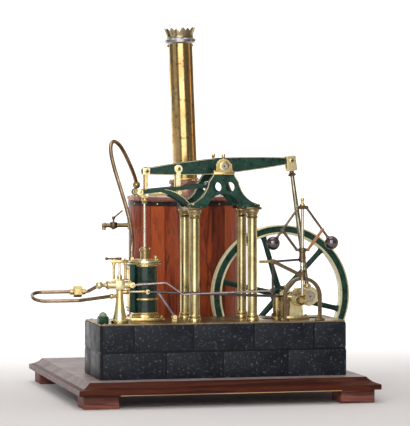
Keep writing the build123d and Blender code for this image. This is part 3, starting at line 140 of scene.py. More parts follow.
class Graph:
    """Adds nodes to a node tree and links them by socket name."""

    def __init__(self, tree: NodeTree) -> None:
        """Keeps the material's or the group's own tree."""
        self.tree = tree

    def add(self, kind: str, settings: dict[str, Any] | None = None, **sockets: Any) -> bpy.types.Node:
        """Adds one node.

        Args:
            kind: The node's type name.
            settings: Values of the node itself, such as its blend type.
            sockets: Input values or sockets to link, with spaces written as underscores.

        Returns:
            The new node.
        """
        node = self.tree.nodes.new(kind)
        for key, value in (settings or {}).items():
            setattr(node, key, value)
        for key, value in sockets.items():
            name = key.replace("_", " ").strip()
            self.feed(node.inputs[int(name) if name.isdigit() else name], value)
        return node

    def feed(self, socket: Socket, value: Any) -> None:
        """Links a socket to another, or sets its own number, colour or vector.

        Args:
            socket: The socket to fill.
            value: A socket, number, colour or vector.
        """
        if isinstance(value, Socket):
            self.tree.links.new(value, socket)
        elif socket.type == "RGBA" and len(value) == 3:
            socket.default_value = (*value, 1.0)
        else:
            socket.default_value = value

    def math(self, operation: str, first: Any, second: Any = 0.0, third: Any = 0.0) -> Socket:
        """Adds a Math node and returns its value."""
        return self.add("ShaderNodeMath", {"operation": operation}, _0=first, _1=second, _2=third).outputs[0]

    def vector(self, operation: str, first: Any, second: Any) -> Socket:
        """Adds a Vector Math node and returns its vector."""
        return self.add("ShaderNodeVectorMath", {"operation": operation}, _0=first, _1=second).outputs[0]

    def mix(self, share: Any, first: Any, second: Any) -> Socket:
        """Adds a colour mix and returns its result."""
        return self.add("ShaderNodeMix", {"data_type": "RGBA"}, _0=share, _6=first, _7=second).outputs[2]

    def ramp(self, value: Any, low: float, high: float, start: float = 0.0, end: float = 1.0,
             curve: str = "LINEAR") -> Socket:
        """Adds a clamped Map Range and returns its result."""
        return self.add("ShaderNodeMapRange", {"interpolation_type": curve}, Value=value, From_Min=low,
                        From_Max=high, To_Min=start, To_Max=end).outputs[0]

    def noise(self, vector: Any, scale: Any, detail: float, rough: float, warp: float = 0.0) -> Socket:
        """Adds a noise texture and returns its factor."""
        return self.add("ShaderNodeTexNoise", None, Vector=vector, Scale=scale, Detail=detail,
                        Roughness=rough, Distortion=warp).outputs["Fac"]

    def place(self, kind: str = "Object") -> Socket:
        """Returns the texture coordinates of a kind."""
        return self.add("ShaderNodeTexCoord").outputs[kind]

    def parts(self, vector: Any) -> Any:
        """Splits a vector and returns its X, Y and Z outputs."""
        return self.add("ShaderNodeSeparateXYZ", None, Vector=vector).outputs


class ShaderGroups:
    """The effects that several finishes share, each built once."""

    @staticmethod
    def _start(name: str, inputs: dict[str, Any], outputs: Sequence[str]) -> tuple[Graph, Any, Any]:
        """Makes a group with float or vector inputs and float outputs.

        Args:
            name: The group's name.
            inputs: First values by socket name.
            outputs: Socket names.

        Returns:
            The group's graph, its given sockets and the sockets to fill.
        """
        tree = bpy.data.node_groups.new(name, "ShaderNodeTree")
        for title, value in inputs.items():
            kind = "NodeSocketFloat" if isinstance(value, float) else "NodeSocketVector"
            tree.interface.new_socket(title, in_out="INPUT", socket_type=kind).default_value = value
        for title in outputs:
            tree.interface.new_socket(title, in_out="OUTPUT", socket_type="NodeSocketFloat")
        graph = Graph(tree)
        return graph, graph.add("NodeGroupInput").outputs, graph.add("NodeGroupOutput").inputs

    @classmethod
    @cache
    def tarnish(cls) -> NodeTree:
        """Cloudy tarnish on polished metal, with Cloud, Spot and Relief outputs.

        Returns:
            The group's tree.
        """
        graph, given, out = cls._start("tarnish", {"Scale": 60.0, "Spot Scale": 420.0},
                                       ("Cloud", "Spot", "Relief"))
        place = graph.place()
        spot = graph.noise(place, given["Spot Scale"], 2.0, 0.5)
        graph.feed(out["Cloud"], graph.ramp(graph.noise(place, given["Scale"], 5.0, 0.62), 0.38, 0.66))
        graph.feed(out["Spot"], graph.ramp(spot, 0.58, 0.70))
        graph.feed(out["Relief"], spot)
        return graph.tree

    @classmethod
    @cache
    def wood_figure(cls) -> NodeTree:
        """Long figure and fine pores of polished hardwood, with Figure, Streak and Pores outputs.

        Returns:
            The group's tree.
        """
        graph, given, out = cls._start("wood_figure", {"Stretch": (1.0, 1.0, 0.08), "Scale": 60.0,
                                                       "Shift": 0.0}, ("Figure", "Streak", "Pores"))
        drift = graph.add("ShaderNodeCombineXYZ", None, X=given["Shift"], Z=given["Shift"]).outputs[0]
        long = graph.vector("MULTIPLY", graph.vector("ADD", graph.place(), drift), given["Stretch"])
        broad = graph.noise(long, given["Scale"], 4.0, 0.6, 1.2)
        fine = graph.noise(long, graph.math("MULTIPLY", given["Scale"], 7.0), 3.0, 0.7)
        graph.feed(out["Figure"], graph.ramp(broad, 0.32, 0.68))
        graph.feed(out["Streak"], graph.ramp(broad, 0.52, 0.60))
        graph.feed(out["Pores"], graph.ramp(fine, 0.35, 0.70))
        return graph.tree

    @classmethod
    @cache
    def specks(cls) -> NodeTree:
        """Light specks and dusty patches on dark paint, with Speck, Dust and Relief outputs.

        Returns:
            The group's tree.
        """
        graph, given, out = cls._start("specks", {"Scale": 700.0}, ("Speck", "Dust", "Relief"))
        place = graph.place()
        cell = graph.noise(place, given["Scale"], 4.0, 0.75)
        graph.feed(out["Speck"], graph.ramp(cell, 0.57, 0.72))
        graph.feed(out["Dust"], graph.ramp(graph.noise(place, 45.0, 5.0, 0.65), 0.42, 0.72))
        graph.feed(out["Relief"], cell)
        return graph.tree


@dataclass(frozen=True)
class Finish:
    """The base of every finish: a named material with one Principled shader."""

    name: str

    def material(self) -> bpy.types.Material:
        """Returns the finish's material, built on its first use.

        Returns:
            The material.
        """
        made = bpy.data.materials.get(self.name)
        if made is None:
            made = bpy.data.materials.new(self.name)
            made.use_nodes = True
            self.paint(Graph(made.node_tree), made.node_tree.nodes["Principled BSDF"])
        return made

    def paint(self, graph: Graph, shader: bpy.types.Node) -> None:
        """Fills the shader's sockets. Each kind of finish has its own."""
        raise NotImplementedError

    @staticmethod
    def fill(graph: Graph, shader: bpy.types.Node, relief: Any = None, depth: float = 0.0,
             **sockets: Any) -> None:
        """Feeds the shader's named sockets, and a bump of the given depth in metres.

        Args:
            graph: The material's graph.
            shader: Its shader.
            relief: The bump's height, if it has one.
            depth: The bump's depth in metres.
            sockets: Input values or sockets, with spaces written as underscores.
        """
        for key, value in sockets.items():
            graph.feed(shader.inputs[key.replace("_", " ")], value)
        if relief is not None:
            bump = graph.add("ShaderNodeBump", None, Strength=1.0, Distance=depth, Height=relief)
            graph.feed(shader.inputs["Normal"], bump.outputs[0])


@dataclass(frozen=True)
class Metal(Finish):
    """Polished or dulled metal with cloudy tarnish and small dark spots."""

    bright: Colour
    dull: Colour
    spot: Colour = (0.05, 0.04, 0.03)
    smooth: float = 0.18
    rough: float = 0.36
    cloud_share: float = 0.8
    spot_share: float = 0.5
    scale: float = 60.0
    metallic: float = 1.0
    grain: float = 0.000007

    def paint(self, graph: Graph, shader: bpy.types.Node) -> None:
        """Mixes the bright metal with its tarnish.

        Args:
            graph: The material's graph.
            shader: Its shader.
        """
        seen = graph.add("ShaderNodeGroup", {"node_tree": ShaderGroups.tarnish()}, Scale=self.scale,
                         Spot_Scale=self.scale * 7).outputs
        colour = graph.mix(graph.math("MULTIPLY", seen["Cloud"], self.cloud_share), self.bright, self.dull)
        colour = graph.mix(graph.math("MULTIPLY", seen["Spot"], self.spot_share), colour, self.spot)
        self.fill(graph, shader, seen["Relief"], self.grain, Base_Color=colour, Metallic=self.metallic,
                  Roughness=graph.ramp(seen["Cloud"], 0.0, 1.0, self.smooth, self.rough))


@dataclass(frozen=True)
class Enamel(Finish):
    """Old gloss paint with uneven shade and rubbed patches."""

    colour: Colour
    deep: Colour
    worn: Colour
    wear: float = 0.35
    gloss: float = 0.24
    grain: float = 0.00002
    coat: float = 0.08

    def paint(self, graph: Graph, shader: bpy.types.Node) -> None:
        """Mixes the paint's shades with its rubbed patches.

        Args:
            graph: The material's graph.
            shader: Its shader.
        """
        seen = graph.add("ShaderNodeGroup", {"node_tree": ShaderGroups.tarnish()}, Scale=90.0,
                         Spot_Scale=520.0).outputs
        colour = graph.mix(seen["Cloud"], self.deep, self.colour)
        colour = graph.mix(graph.math("MULTIPLY", seen["Spot"], self.wear), colour, self.worn)
        self.fill(graph, shader, seen["Relief"], self.grain, Base_Color=colour, Coat_Weight=self.coat,
                  Coat_Roughness=0.12, Specular_IOR_Level=0.22, Roughness=graph.ramp(seen["Cloud"], 0.0, 1.0,
                                                                                     self.gloss,
                                                                                     self.gloss + 0.2))


@dataclass(frozen=True)
class Hardwood(Finish):
    """Polished mahogany, with its grain along one direction."""

    light: Colour
    middle: Colour
    dark: Colour
    stretch: Point
    scale: float = 60.0
    gloss: float = 0.22
    coat: float = 0.5
    specular: float = 0.3
    # The dust share paints real dust on the level top and also a painted sheen on faces turned to the left.
    dust: float = 0.0
    dust_and_sheen_colour: Colour = (0.35, 0.25, 0.22)

    def paint(self, graph: Graph, shader: bpy.types.Node) -> None:
        """Mixes the figure, the dark streaks, the pores, and the pale colour that is real dust on the top and
        a painted sheen on the left faces.

        Args:
            graph: The material's graph.
            shader: Its shader.
        """
        shift = self.board_shift(graph)
        seen = graph.add("ShaderNodeGroup", {"node_tree": ShaderGroups.wood_figure()}, Stretch=self.stretch,
                         Scale=self.scale, Shift=shift).outputs
        colour = graph.mix(seen["Figure"], self.middle, self.light)
        for title, share in (("Streak", 0.75), ("Pores", 0.35)):
            colour = graph.mix(graph.math("MULTIPLY", seen[title], share), colour, self.dark)
        colour = self.tint(graph, colour, shift)
        if self.dust > 0.0:
            colour = graph.mix(self.dust_and_sheen_share(graph), colour, self.dust_and_sheen_colour)
        self.fill(graph, shader, seen["Pores"], 0.00008, Base_Color=colour, Coat_Weight=self.coat,
                  Coat_Roughness=0.10, Specular_IOR_Level=self.specular, Roughness=graph.ramp(seen["Pores"],
                                                                                              0.0, 1.0,
                                                                                              self.gloss,
                                                                                              self.gloss
                                                                                              + 0.22))

    def dust_and_sheen_share(self, graph: Graph) -> Socket:
        """Returns the pale colour's share: real dust, patchy on the board's level top, and a painted sheen on
        the faces to the left, where light from the left grazes them.

        Args:
            graph: The material's graph.

        Returns:
            The share from 0 to 1.
        """
        specks = graph.add("ShaderNodeGroup", {"node_tree": ShaderGroups.specks()}, Scale=520.0).outputs
        facing = graph.parts(graph.add("ShaderNodeNewGeometry").outputs["Normal"])
        tall = graph.parts(graph.place())["Z"]
        top = graph.math("MULTIPLY", graph.ramp(facing["Z"], 0.86, 0.99), graph.ramp(tall, 0.0312, 0.0332,
                                                                                     0.0, self.dust))
        # Faces turned to the left take the pale colour as a painted sheen, standing in for the light from the
        # left that grazes them.
        share = graph.math("MAXIMUM", top, graph.ramp(facing["X"], -0.2, -0.45, 0.0, self.dust * 0.8))
        return graph.math("MULTIPLY", share, graph.ramp(specks["Dust"], 0.0, 1.0, 0.55, 1.0))

    def board_shift(self, graph: Graph) -> Any:
        """The grain's shift, the same all over a plain board."""
        return 0.0

    def tint(self, graph: Graph, colour: Any, shift: Any) -> Any:
        """A plain board keeps its colour."""
        return colour


@dataclass(frozen=True)
class Staves(Hardwood):
    """The boiler's lagging boards, each with its own shade and grain."""

    boards: int = 22
    centre: Flat = (162.0, 225.0)

    def board_shift(self, graph: Graph) -> Any:
        """Returns a random number for each board round the boiler.

        Args:
            graph: The material's graph.

        Returns:
            The number's socket.
        """
        parts = graph.parts(graph.place())
        across = graph.math("SUBTRACT", parts["X"], (self.centre[0] - ORIGIN.x) * MILLIMETRE)
        deep = graph.math("SUBTRACT", parts["Y"], (self.centre[1] - ORIGIN.y) * MILLIMETRE)
        angle = graph.math("ARCTAN2", deep, across)
        board = graph.math("FLOOR", graph.math("MULTIPLY_ADD", angle, self.boards / math.tau,
                                               self.boards + 19.5))
        return graph.add("ShaderNodeTexWhiteNoise", {"noise_dimensions": "1D"}, W=board).outputs["Value"]

    def tint(self, graph: Graph, colour: Any, shift: Any) -> Any:
        """Makes some boards darker or more orange than others."""
        darker = graph.mix(graph.ramp(shift, 0.55, 1.0, 0.0, 0.65), colour, self.dark)
        return graph.mix(graph.ramp(shift, 0.35, 0.0, 0.0, 0.6), darker, self.light)


@dataclass(frozen=True)
class StonePaint(Finish):
    """Near-black speckled paint on the plinth, dusty in patches."""

    base: Colour
    speck: Colour
    dust: Colour
    dust_share: float = 0.35

    def paint(self, graph: Graph, shader: bpy.types.Node) -> None:
        """Mixes the specks and the dust over the dark paint.

        Args:
            graph: The material's graph.
            shader: Its shader.
        """
        seen = graph.add("ShaderNodeGroup", {"node_tree": ShaderGroups.specks()}, Scale=270.0).outputs
        colour = graph.mix(graph.math("MULTIPLY", seen["Speck"], 0.75), self.base, self.speck)
        colour = graph.mix(graph.math("MULTIPLY", seen["Dust"], self.dust_share), colour, self.dust)
        self.fill(graph, shader, seen["Relief"], 0.00009, Base_Color=colour, Specular_IOR_Level=0.2,
                  Roughness=graph.ramp(seen["Dust"], 0.0, 1.0, 0.34, 0.58))


@dataclass(frozen=True)
class Paper(Finish):
    """Matt paper that the camera and reflections see lit, the more the deeper it lies."""

    colour: Colour
    rough: float
    fade: Flat = (-0.15, 1.3)

    def paint(self, graph: Graph, shader: bpy.types.Node) -> None:
        """Lights the paper for the rays that show it.

        Args:
            graph: The material's graph.
            shader: Its shader.
        """
        path = graph.add("ShaderNodeLightPath").outputs
        seen = graph.math("MAXIMUM", path["Is Camera Ray"], path["Is Glossy Ray"])
        deep = graph.ramp(graph.parts(graph.place())["Y"], *self.fade, curve="SMOOTHSTEP")
        self.fill(graph, shader, Base_Color=self.colour, Roughness=self.rough, Emission_Color=(1.0, 1.0, 1.0),
                  Emission_Strength=graph.math("MULTIPLY", seen, deep))


BRASS = Metal("brass", (0.78, 0.61, 0.28), (0.50, 0.37, 0.15), smooth=0.16, rough=0.32, scale=55.0)
BRIGHT_BRASS = Metal("bright_brass", (0.93, 0.82, 0.50), (0.72, 0.60, 0.28), smooth=0.24, rough=0.38,
                     spot_share=0.35)
DULL_BRASS = Metal("dull_brass", (0.50, 0.40, 0.19), (0.26, 0.19, 0.09), smooth=0.22, rough=0.42)
COLUMN_BRASS = Metal("column_brass", (0.60, 0.51, 0.27), (0.34, 0.28, 0.12), smooth=0.12, rough=0.2,
                     scale=30.0, spot_share=0.25, grain=0.000003)
CHIMNEY_BRASS = Metal("chimney_brass", (0.78, 0.57, 0.26), (0.46, 0.27, 0.09), smooth=0.13, rough=0.24,
                      scale=26.0, spot_share=0.5, grain=0.000003)
CROWN_BRASS = Metal("crown_brass", (0.50, 0.40, 0.24), (0.15, 0.115, 0.06), smooth=0.22, rough=0.4)
WHEEL_BRASS = Metal("wheel_brass", (0.90, 0.86, 0.56), (0.62, 0.57, 0.34), smooth=0.3, rough=0.45,
                    spot_share=0.35, metallic=0.4)
# A lighter copy of the wheel's cream brass for the tread: painted light for the strong light that falls on
# the rim's outer face.
LIT_TREAD_BRASS = Metal("wheel_tread_painted_light", (1.0, 0.96, 0.66), (0.90, 0.84, 0.54), smooth=0.4, rough=0.55,
                    spot_share=0.2, metallic=0.1)
ROD_STEEL = Metal("rod_steel", (0.46, 0.42, 0.29), (0.18, 0.18, 0.12), smooth=0.14, rough=0.26)
PALE_ROD = Metal("pale_rod", (0.66, 0.55, 0.53), (0.36, 0.26, 0.25), smooth=0.2, rough=0.34)
COPPER_PIPE = Metal("copper_pipe", (0.43, 0.30, 0.19), (0.19, 0.13, 0.08), smooth=0.16, rough=0.32,
                    scale=70.0)
COPPER = Metal("copper", (0.46, 0.24, 0.19), (0.24, 0.12, 0.09), smooth=0.3, rough=0.5)
LINK_COPPER = Metal("link_copper", (0.72, 0.36, 0.17), (0.42, 0.19, 0.09), smooth=0.24, rough=0.4)
BEDPLATE_COPPER = Metal("bedplate_copper", (0.50, 0.37, 0.28), (0.28, 0.20, 0.14), smooth=0.3, rough=0.5,
                        scale=30.0, metallic=0.55)
EDGE_BRASS = Metal("bedplate_edge", (0.34, 0.25, 0.13), (0.16, 0.11, 0.06), smooth=0.3, rough=0.5, scale=30.0)
STEEL = Metal("steel", (0.74, 0.70, 0.60), (0.46, 0.42, 0.34), smooth=0.14, rough=0.28, spot_share=0.12)
DARK_STEEL = Metal("dark_steel", (0.20, 0.17, 0.18), (0.09, 0.07, 0.08), smooth=0.08, rough=0.22)
BRONZE = Metal("bronze", (0.26, 0.18, 0.11), (0.10, 0.075, 0.05), smooth=0.2, rough=0.42)
SILVER = Metal("pale_ring", (0.50, 0.50, 0.49), (0.30, 0.30, 0.29), smooth=0.2, rough=0.4)
# Near-black for the core behind the staves' joints, and painted shade in the screws' slots.
JOINT_BLACK_AND_SLOT_SHADE = Metal("joint_black_and_slot_shade", (0.035, 0.03, 0.03), (0.02, 0.02, 0.02), smooth=0.6, rough=0.9, metallic=0.0)
GREEN = Enamel("green_enamel", (0.014, 0.066, 0.044), (0.006, 0.030, 0.021), (0.10, 0.16, 0.12))
CYLINDER_GREEN = Enamel("cylinder_green", (0.010, 0.042, 0.030), (0.005, 0.020, 0.015), (0.08, 0.12, 0.09),
                        coat=0.4)
PALE_GREEN = Enamel("pale_green", (0.34, 0.42, 0.27), (0.16, 0.22, 0.13), (0.50, 0.52, 0.36))
BLACK = Enamel("black_japan", (0.020, 0.017, 0.020), (0.010, 0.008, 0.010), (0.10, 0.08, 0.07))
CREAM = Enamel("cream_line", (0.74, 0.66, 0.44), (0.54, 0.46, 0.27), (0.30, 0.24, 0.12), gloss=0.35)
PLINTH_STONE = StonePaint("plinth_stone", (0.007, 0.0085, 0.013), (0.20, 0.225, 0.28), (0.036, 0.042, 0.056))
PLINTH_EDGE = StonePaint("plinth_edge", (0.012, 0.014, 0.020), (0.27, 0.30, 0.36), (0.055, 0.062, 0.078))
PLINTH_JOINT = StonePaint("plinth_joint", (0.003, 0.003, 0.004), (0.02, 0.02, 0.025), (0.01, 0.01, 0.012))
# The board's pale colour is real dust on its top and a painted sheen on its left-facing faces.
BOARD_WOOD = Hardwood("board_wood", (0.14, 0.032, 0.014), (0.050, 0.011, 0.007), (0.012, 0.004, 0.003),
                      (0.07, 1.0, 1.0), scale=70.0, gloss=0.34, coat=0.0, specular=0.1, dust=0.76,
                      dust_and_sheen_colour=(0.58, 0.50, 0.49))
FOOT_WOOD = Hardwood("foot_wood", (0.40, 0.135, 0.10), (0.17, 0.062, 0.052), (0.03, 0.011, 0.009),
                     (0.07, 1.0, 1.0), scale=70.0, gloss=0.34, coat=0.0, specular=0.1)
# A pale orange wood for the thin strip under the board's front edge: a painted highlight where light
# reflected up from the floor catches the edge.
EDGE_HIGHLIGHT_WOOD = Hardwood("painted_highlight_edge", (0.80, 0.50, 0.25), (0.60, 0.34, 0.15), (0.30, 0.14, 0.06),
                     (0.07, 1.0, 1.0), scale=70.0, coat=0.0)
STAVE_WOOD = Staves("boiler_staves", (0.66, 0.130, 0.030), (0.25, 0.038, 0.018), (0.036, 0.007, 0.010),
                    (1.0, 1.0, 0.13), scale=95.0, gloss=0.3, coat=0.08, specular=0.18)
FLOOR_PAPER = Paper("floor_paper", (0.85, 0.81, 0.80), 0.75)
BACKDROP_WHITE = Paper("backdrop_white", (0.9, 0.9, 0.9), 0.5)


def rounded(points: Sequence[Point], bends: Sequence[float], steps: int = 8) -> list[Vector]:
    """Rounds the corners of a route with arcs.

    Args:
        points: The route's corners.
        bends: A radius for each inner corner.
        steps: Pieces in each arc.

    Returns:
        Points along the rounded route.
    """
    corners = [Vector(p) for p in points]
    route = [corners[0]]
    for before, here, after, radius in zip(corners, corners[1:], corners[2:], bends):
        back, ahead = (before - here).normalized(), (after - here).normalized()
        half = back.angle(ahead) / 2
        reach = radius / math.tan(half)
        middle = here + (back + ahead).normalized() * (radius / math.sin(half))
        start, end = here + back * reach - middle, here + ahead * reach - middle
        swing = start.angle(end)
        normal = start.cross(end).normalized()
        for step in range(steps + 1):
            route.append(middle + Quaternion(normal, swing * step / steps) @ start)
    route.append(corners[-1])
    return route


def arc(centre: Flat, radius: float, start: float, end: float, steps: int = 16) -> list[Flat]:
    """Returns points on an arc, with its angles in degrees."""
    angles = [math.radians(start + (end - start) * step / steps) for step in range(steps + 1)]
    return [(centre[0] + radius * math.cos(a), centre[1] + radius * math.sin(a)) for a in angles]


def ring(centre: Flat, radius: float, steps: int = 40) -> list[Flat]:
    """Returns a closed circle's points."""
    return arc(centre, radius, 0.0, 360.0 * (steps - 1) / steps, steps - 1)


def through(first: Flat, middle: Flat, last: Flat, steps: int = 14) -> list[Flat]:
    """Returns points on the circle's arc through three points.

    Args:
        first: The curve's first point.
        middle: A point that it passes.
        last: Its last point.
        steps: How many steps it has.

    Returns:
        The curve's points.
    """
    ax, ay = first
    bx, by = middle
    cx, cy = last
    scale = 2 * (ax * (by - cy) + bx * (cy - ay) + cx * (ay - by))
    sa, sb, sc = ax * ax + ay * ay, bx * bx + by * by, cx * cx + cy * cy
    centre = ((sa * (by - cy) + sb * (cy - ay) + sc * (ay - by)) / scale,
              (sa * (cx - bx) + sb * (ax - cx) + sc * (bx - ax)) / scale)
    radius = math.hypot(ax - centre[0], ay - centre[1])
    angles = [math.degrees(math.atan2(y - centre[1], x - centre[0])) for x, y in (first, middle, last)]
    start, passing, end = angles
    while passing < start:
        passing += 360
    while end < start:
        end += 360
    if passing > end:
        end -= 360
    return arc(centre, radius, start, end, steps)


def shank(first: Flat, last: Flat, first_r: float, last_r: float, width: float) -> list[Flat]:
    """Returns the outline of a link: two round eyes joined by straight sides.

    Args:
        first: One eye's centre.
        last: The other eye's centre.
        first_r: One eye's radius.
        last_r: The other eye's radius.
        width: The width between the straight sides.

    Returns:
        The closed outline, without its holes.
    """
    angle = math.degrees(math.atan2(last[1] - first[1], last[0] - first[0]))
    opening = [math.degrees(math.asin(min(1.0, width / 2 / r))) for r in (first_r, last_r)]
    start = arc(first, first_r, angle + opening[0], angle + 360 - opening[0], 22)
    end = arc(last, last_r, angle - 180 + opening[1], angle + 180 - opening[1], 22)
    return start + end


def oblong(x0: float, z0: float, x1: float, z1: float) -> list[Flat]:
    """Returns the corners of a rectangle."""
    return [(x0, z0), (x1, z0), (x1, z1), (x0, z1)]


def heading(axis: Any) -> Vector:
    """Returns an Axis or a direction as a vector of length one."""
    return Vector(axis.value if isinstance(axis, Axis) else axis).normalized()


def upright(axis: Any) -> Matrix:
    """Returns the turn that stands Z along an Axis or a direction."""
    return heading(axis).to_track_quat("Z", "Y").to_matrix().to_4x4()


def rise(place: Matrix) -> Vector:
    """Returns the way that a frame's Z points."""
    return place.to_3x3() @ Vector((0, 0, 1))


def oil_cup(foot: float, neck: float, bowl: float, brim: float, top: float) -> list[Flat]:
    """Returns the profile of an oil cup, from its foot by its neck and bowl to its lid."""
    return [(0, foot), (1.5, foot), (1.5, neck), (2.1, neck + 0.8), (2.4, bowl), (2.4, brim), (2.0, top),
            (0, top)]


class Shape:
    """Collects one piece's faces in millimetres, each with its finish."""

    def __init__(self, finish: Finish) -> None:
        """Starts an empty piece with the finish of its first faces.

        Args:
            finish: The finish of the first faces.
        """
        self.mesh = bmesh.new()
        self.finishes: list[Finish] = []
        self.current = 0
        self.use(finish)

    def use(self, finish: Finish) -> Shape:
        """Sets the finish of the faces that follow.

        Args:
            finish: The finish to go on with.

        Returns:
            The shape itself.
        """
        if finish not in self.finishes:
            self.finishes.append(finish)
        self.current = self.finishes.index(finish)
        return self

    def take(self, faces: Iterable[bmesh.types.BMFace]) -> Shape:
        """Gives faces the current finish.

        Args:
            faces: The faces to paint.

        Returns:
            The shape itself.
        """
        for face in faces:
            face.material_index = self.current
            face.smooth = True
        return self

    def turned(self, profile: Sequence[Flat], at: Point = (0.0, 0.0, 0.0), axis: Any = Axis.Z,
               steps: int = 40, closed: bool = False, twist: float = 0.0) -> Shape:
        """Turns a profile of radius and height about an axis.

        Args:
            profile: Points of radius and height.
            at: Where height nought stands.
            axis: An Axis or a direction.
            steps: Facets round the axis; six makes a nut.
            closed: Whether the profile closes on itself, as in a tube.
            twist: The first facet's turn in degrees.

        Returns:
            The shape itself.
        """
        place = Matrix.Translation(at) @ upright(axis) @ Matrix.Rotation(math.radians(twist), 4, "Z")
        rings: list[list[bmesh.types.BMVert]] = []
        for radius, height in profile:
            turns = [math.tau * step / steps for step in range(steps)] if radius > 1e-5 else [0.0]
            reach = radius if len(turns) > 1 else 0.0
            rings.append([self.mesh.verts.new(place @ Vector((reach * math.cos(a), reach * math.sin(a),
                                                              height))) for a in turns])
        faces = []
        for low, high in zip(rings, rings[1:] + rings[:1] if closed else rings[1:]):
            for step in range(steps):
                after = (step + 1) % steps
                corners = (low[step % len(low)], low[after % len(low)], high[after % len(high)],
                           high[step % len(high)])
                unique = list(dict.fromkeys(corners))
                if len(unique) > 2:
                    faces.append(self.mesh.faces.new(unique))
        for end in (rings[0], rings[-1]):
            if not closed and len(end) > 1:
                faces.append(self.mesh.faces.new(end))
        return self.take(faces)

    def loft(self, loops: Sequence[Sequence[Point]]) -> Shape:
        """Joins loops of points in order and closes both ends.

        Args:
            loops: Loops of equally many points.

        Returns:
            The shape itself.
        """
        rings = [[self.mesh.verts.new(point) for point in loop] for loop in loops]
        count = len(rings[0])
        faces = [self.mesh.faces.new((low[k], low[(k + 1) % count], high[(k + 1) % count], high[k]))
                 for low, high in zip(rings, rings[1:]) for k in range(count)]
        return self.take([*faces, self.mesh.faces.new(rings[0]), self.mesh.faces.new(rings[-1])])

    def bar(self, start: Sequence[float], end: Sequence[float], radius: float, last: float | None = None,
            steps: int = 20) -> Shape:
        """Adds a round or tapered bar between two points.

        Args:
            start: The middle of the first end.
            end: The middle of the last end.
            radius: Its radius.
            last: The last end's radius, where it tapers.
            steps: Facets round it.

        Returns:
            The shape itself.
        """
        run = Vector(end) - Vector(start)
        last = radius if last is None else last
        return self.turned(((0, 0), (radius, 0), (last, run.length), (0, run.length)), start, run, steps)

    def pin(self, x: float, z: float, radius: float, y0: float, y1: float, steps: int = 24) -> Shape:
        """Adds a round bar along Y and returns the shape."""
        return self.bar((x, y0, z), (x, y1, z), radius, steps=steps)

    def ball(self, at: Point, radius: float, steps: int = 24) -> Shape:
        """Adds a ball.

        Args:
            at: Its centre.
            radius: Its radius.
            steps: Facets round it.

        Returns:
            The shape itself.
        """
        half = steps // 2
        around = [(radius * math.sin(math.pi * k / half), -radius * math.cos(math.pi * k / half))
                  for k in range(1, half)]
        return self.turned([(0, -radius), *around, (0, radius)], at, steps=steps)

    def block(self, low: Point, high: Point, bevel: float = 0.0, segments: int = 2,
              edge: Finish | None = None) -> Shape:
        """Adds a block with rounded edges.

        Args:
            low: The lowest corner.
            high: The highest corner.
            bevel: The rounding's width.
            segments: The rounding's steps.
            edge: The rounding's own finish, where it is worn.

        Returns:
            The shape itself.
        """
        size = Vector(high) - Vector(low)
        place = Matrix.Translation((Vector(low) + Vector(high)) / 2) @ Matrix.Diagonal((*size, 1.0))
        made = bmesh.ops.create_cube(self.mesh, size=1.0, matrix=place)["verts"]
        self.take({face for vert in made for face in vert.link_faces})
        if bevel > 0.0:
            edges = {edge for vert in made for edge in vert.link_edges}
            result = bmesh.ops.bevel(self.mesh, geom=list(edges), offset=bevel, segments=segments,
                                     profile=0.5, affect="EDGES")
            held = self.finishes[self.current]
            self.use(edge or held).take(result["faces"]).use(held)
        return self

    def plate(self, outlines: Sequence[Sequence[Flat]], y0: float, y1: float, bevel: float = 0.0,
              place: Matrix | None = None) -> Shape:
        """Adds a flat plate drawn in X and Z, with holes.

        Args:
            outlines: The outer outline and then the holes.
            y0: The near face.
            y1: The far face.
            bevel: The rounding of its edges.
            place: A further move of the plate, in millimetres.

        Returns:
            The shape itself.
        """
        curve = bpy.data.curves.new("plate", "CURVE")
        curve.dimensions = "2D"
        curve.fill_mode = "BOTH"
        curve.extrude = max(0.0, (y1 - y0) / 2 - bevel)
        curve.bevel_depth = bevel
        curve.bevel_resolution = 1
        curve.offset = -bevel
        for outline in outlines:
            spline = curve.splines.new("POLY")
            spline.points.add(len(outline) - 1)
            for point, (x, z) in zip(spline.points, outline):
                point.co = (x, z, 0.0, 1.0)
            spline.use_cyclic_u = True
        stand = Matrix.Translation((0.0, (y0 + y1) / 2, 0.0)) @ Matrix.Rotation(QUARTER, 4, "X")
        return self._from_curve(curve, (place @ stand) if place is not None else stand)

    def tube(self, route: Sequence[Any], radius: float, drawn: bool = False) -> Shape:
        """Adds a round tube.

        Args:
            route: The points that it follows.
            radius: Its outer radius.
            drawn: Whether one smooth curve is drawn by the points, or each point is passed.

        Returns:
            The shape itself.
        """
        curve = bpy.data.curves.new("tube", "CURVE")
        curve.dimensions = "3D"
        curve.bevel_depth = radius
        curve.bevel_resolution = 5
        curve.use_fill_caps = True
        curve.resolution_u = 8
        spline = curve.splines.new("NURBS" if drawn else "POLY")
        spline.points.add(len(route) - 1)
        for point, place in zip(spline.points, route):
            point.co = (*place, 1.0)
        if drawn:
            spline.order_u = 4
            spline.use_endpoint_u = True
        return self._from_curve(curve, Matrix.Identity(4))

    def _from_curve(self, curve: bpy.types.Curve, place: Matrix) -> Shape:
        """Turns a curve into faces of this shape and removes it.

        Args:
            curve: The curve to turn into faces.
            place: Its move, in millimetres.

        Returns:
            The shape itself.
        """
        made = worked_out(link("temporary", curve))
        made.transform(place)
        bpy.data.curves.remove(curve)
        return self.join(made)

    def join(self, made: bpy.types.Mesh) -> Shape:
        """Adds a mesh's faces with the current finish, then removes the mesh.

        Args:
            made: The mesh to add.

        Returns:
            The shape itself.
        """
        before = len(self.mesh.faces)
        self.mesh.from_mesh(made)
        bpy.data.meshes.remove(made)
        self.mesh.faces.ensure_lookup_table()
        return self.take(self.mesh.faces[before:])

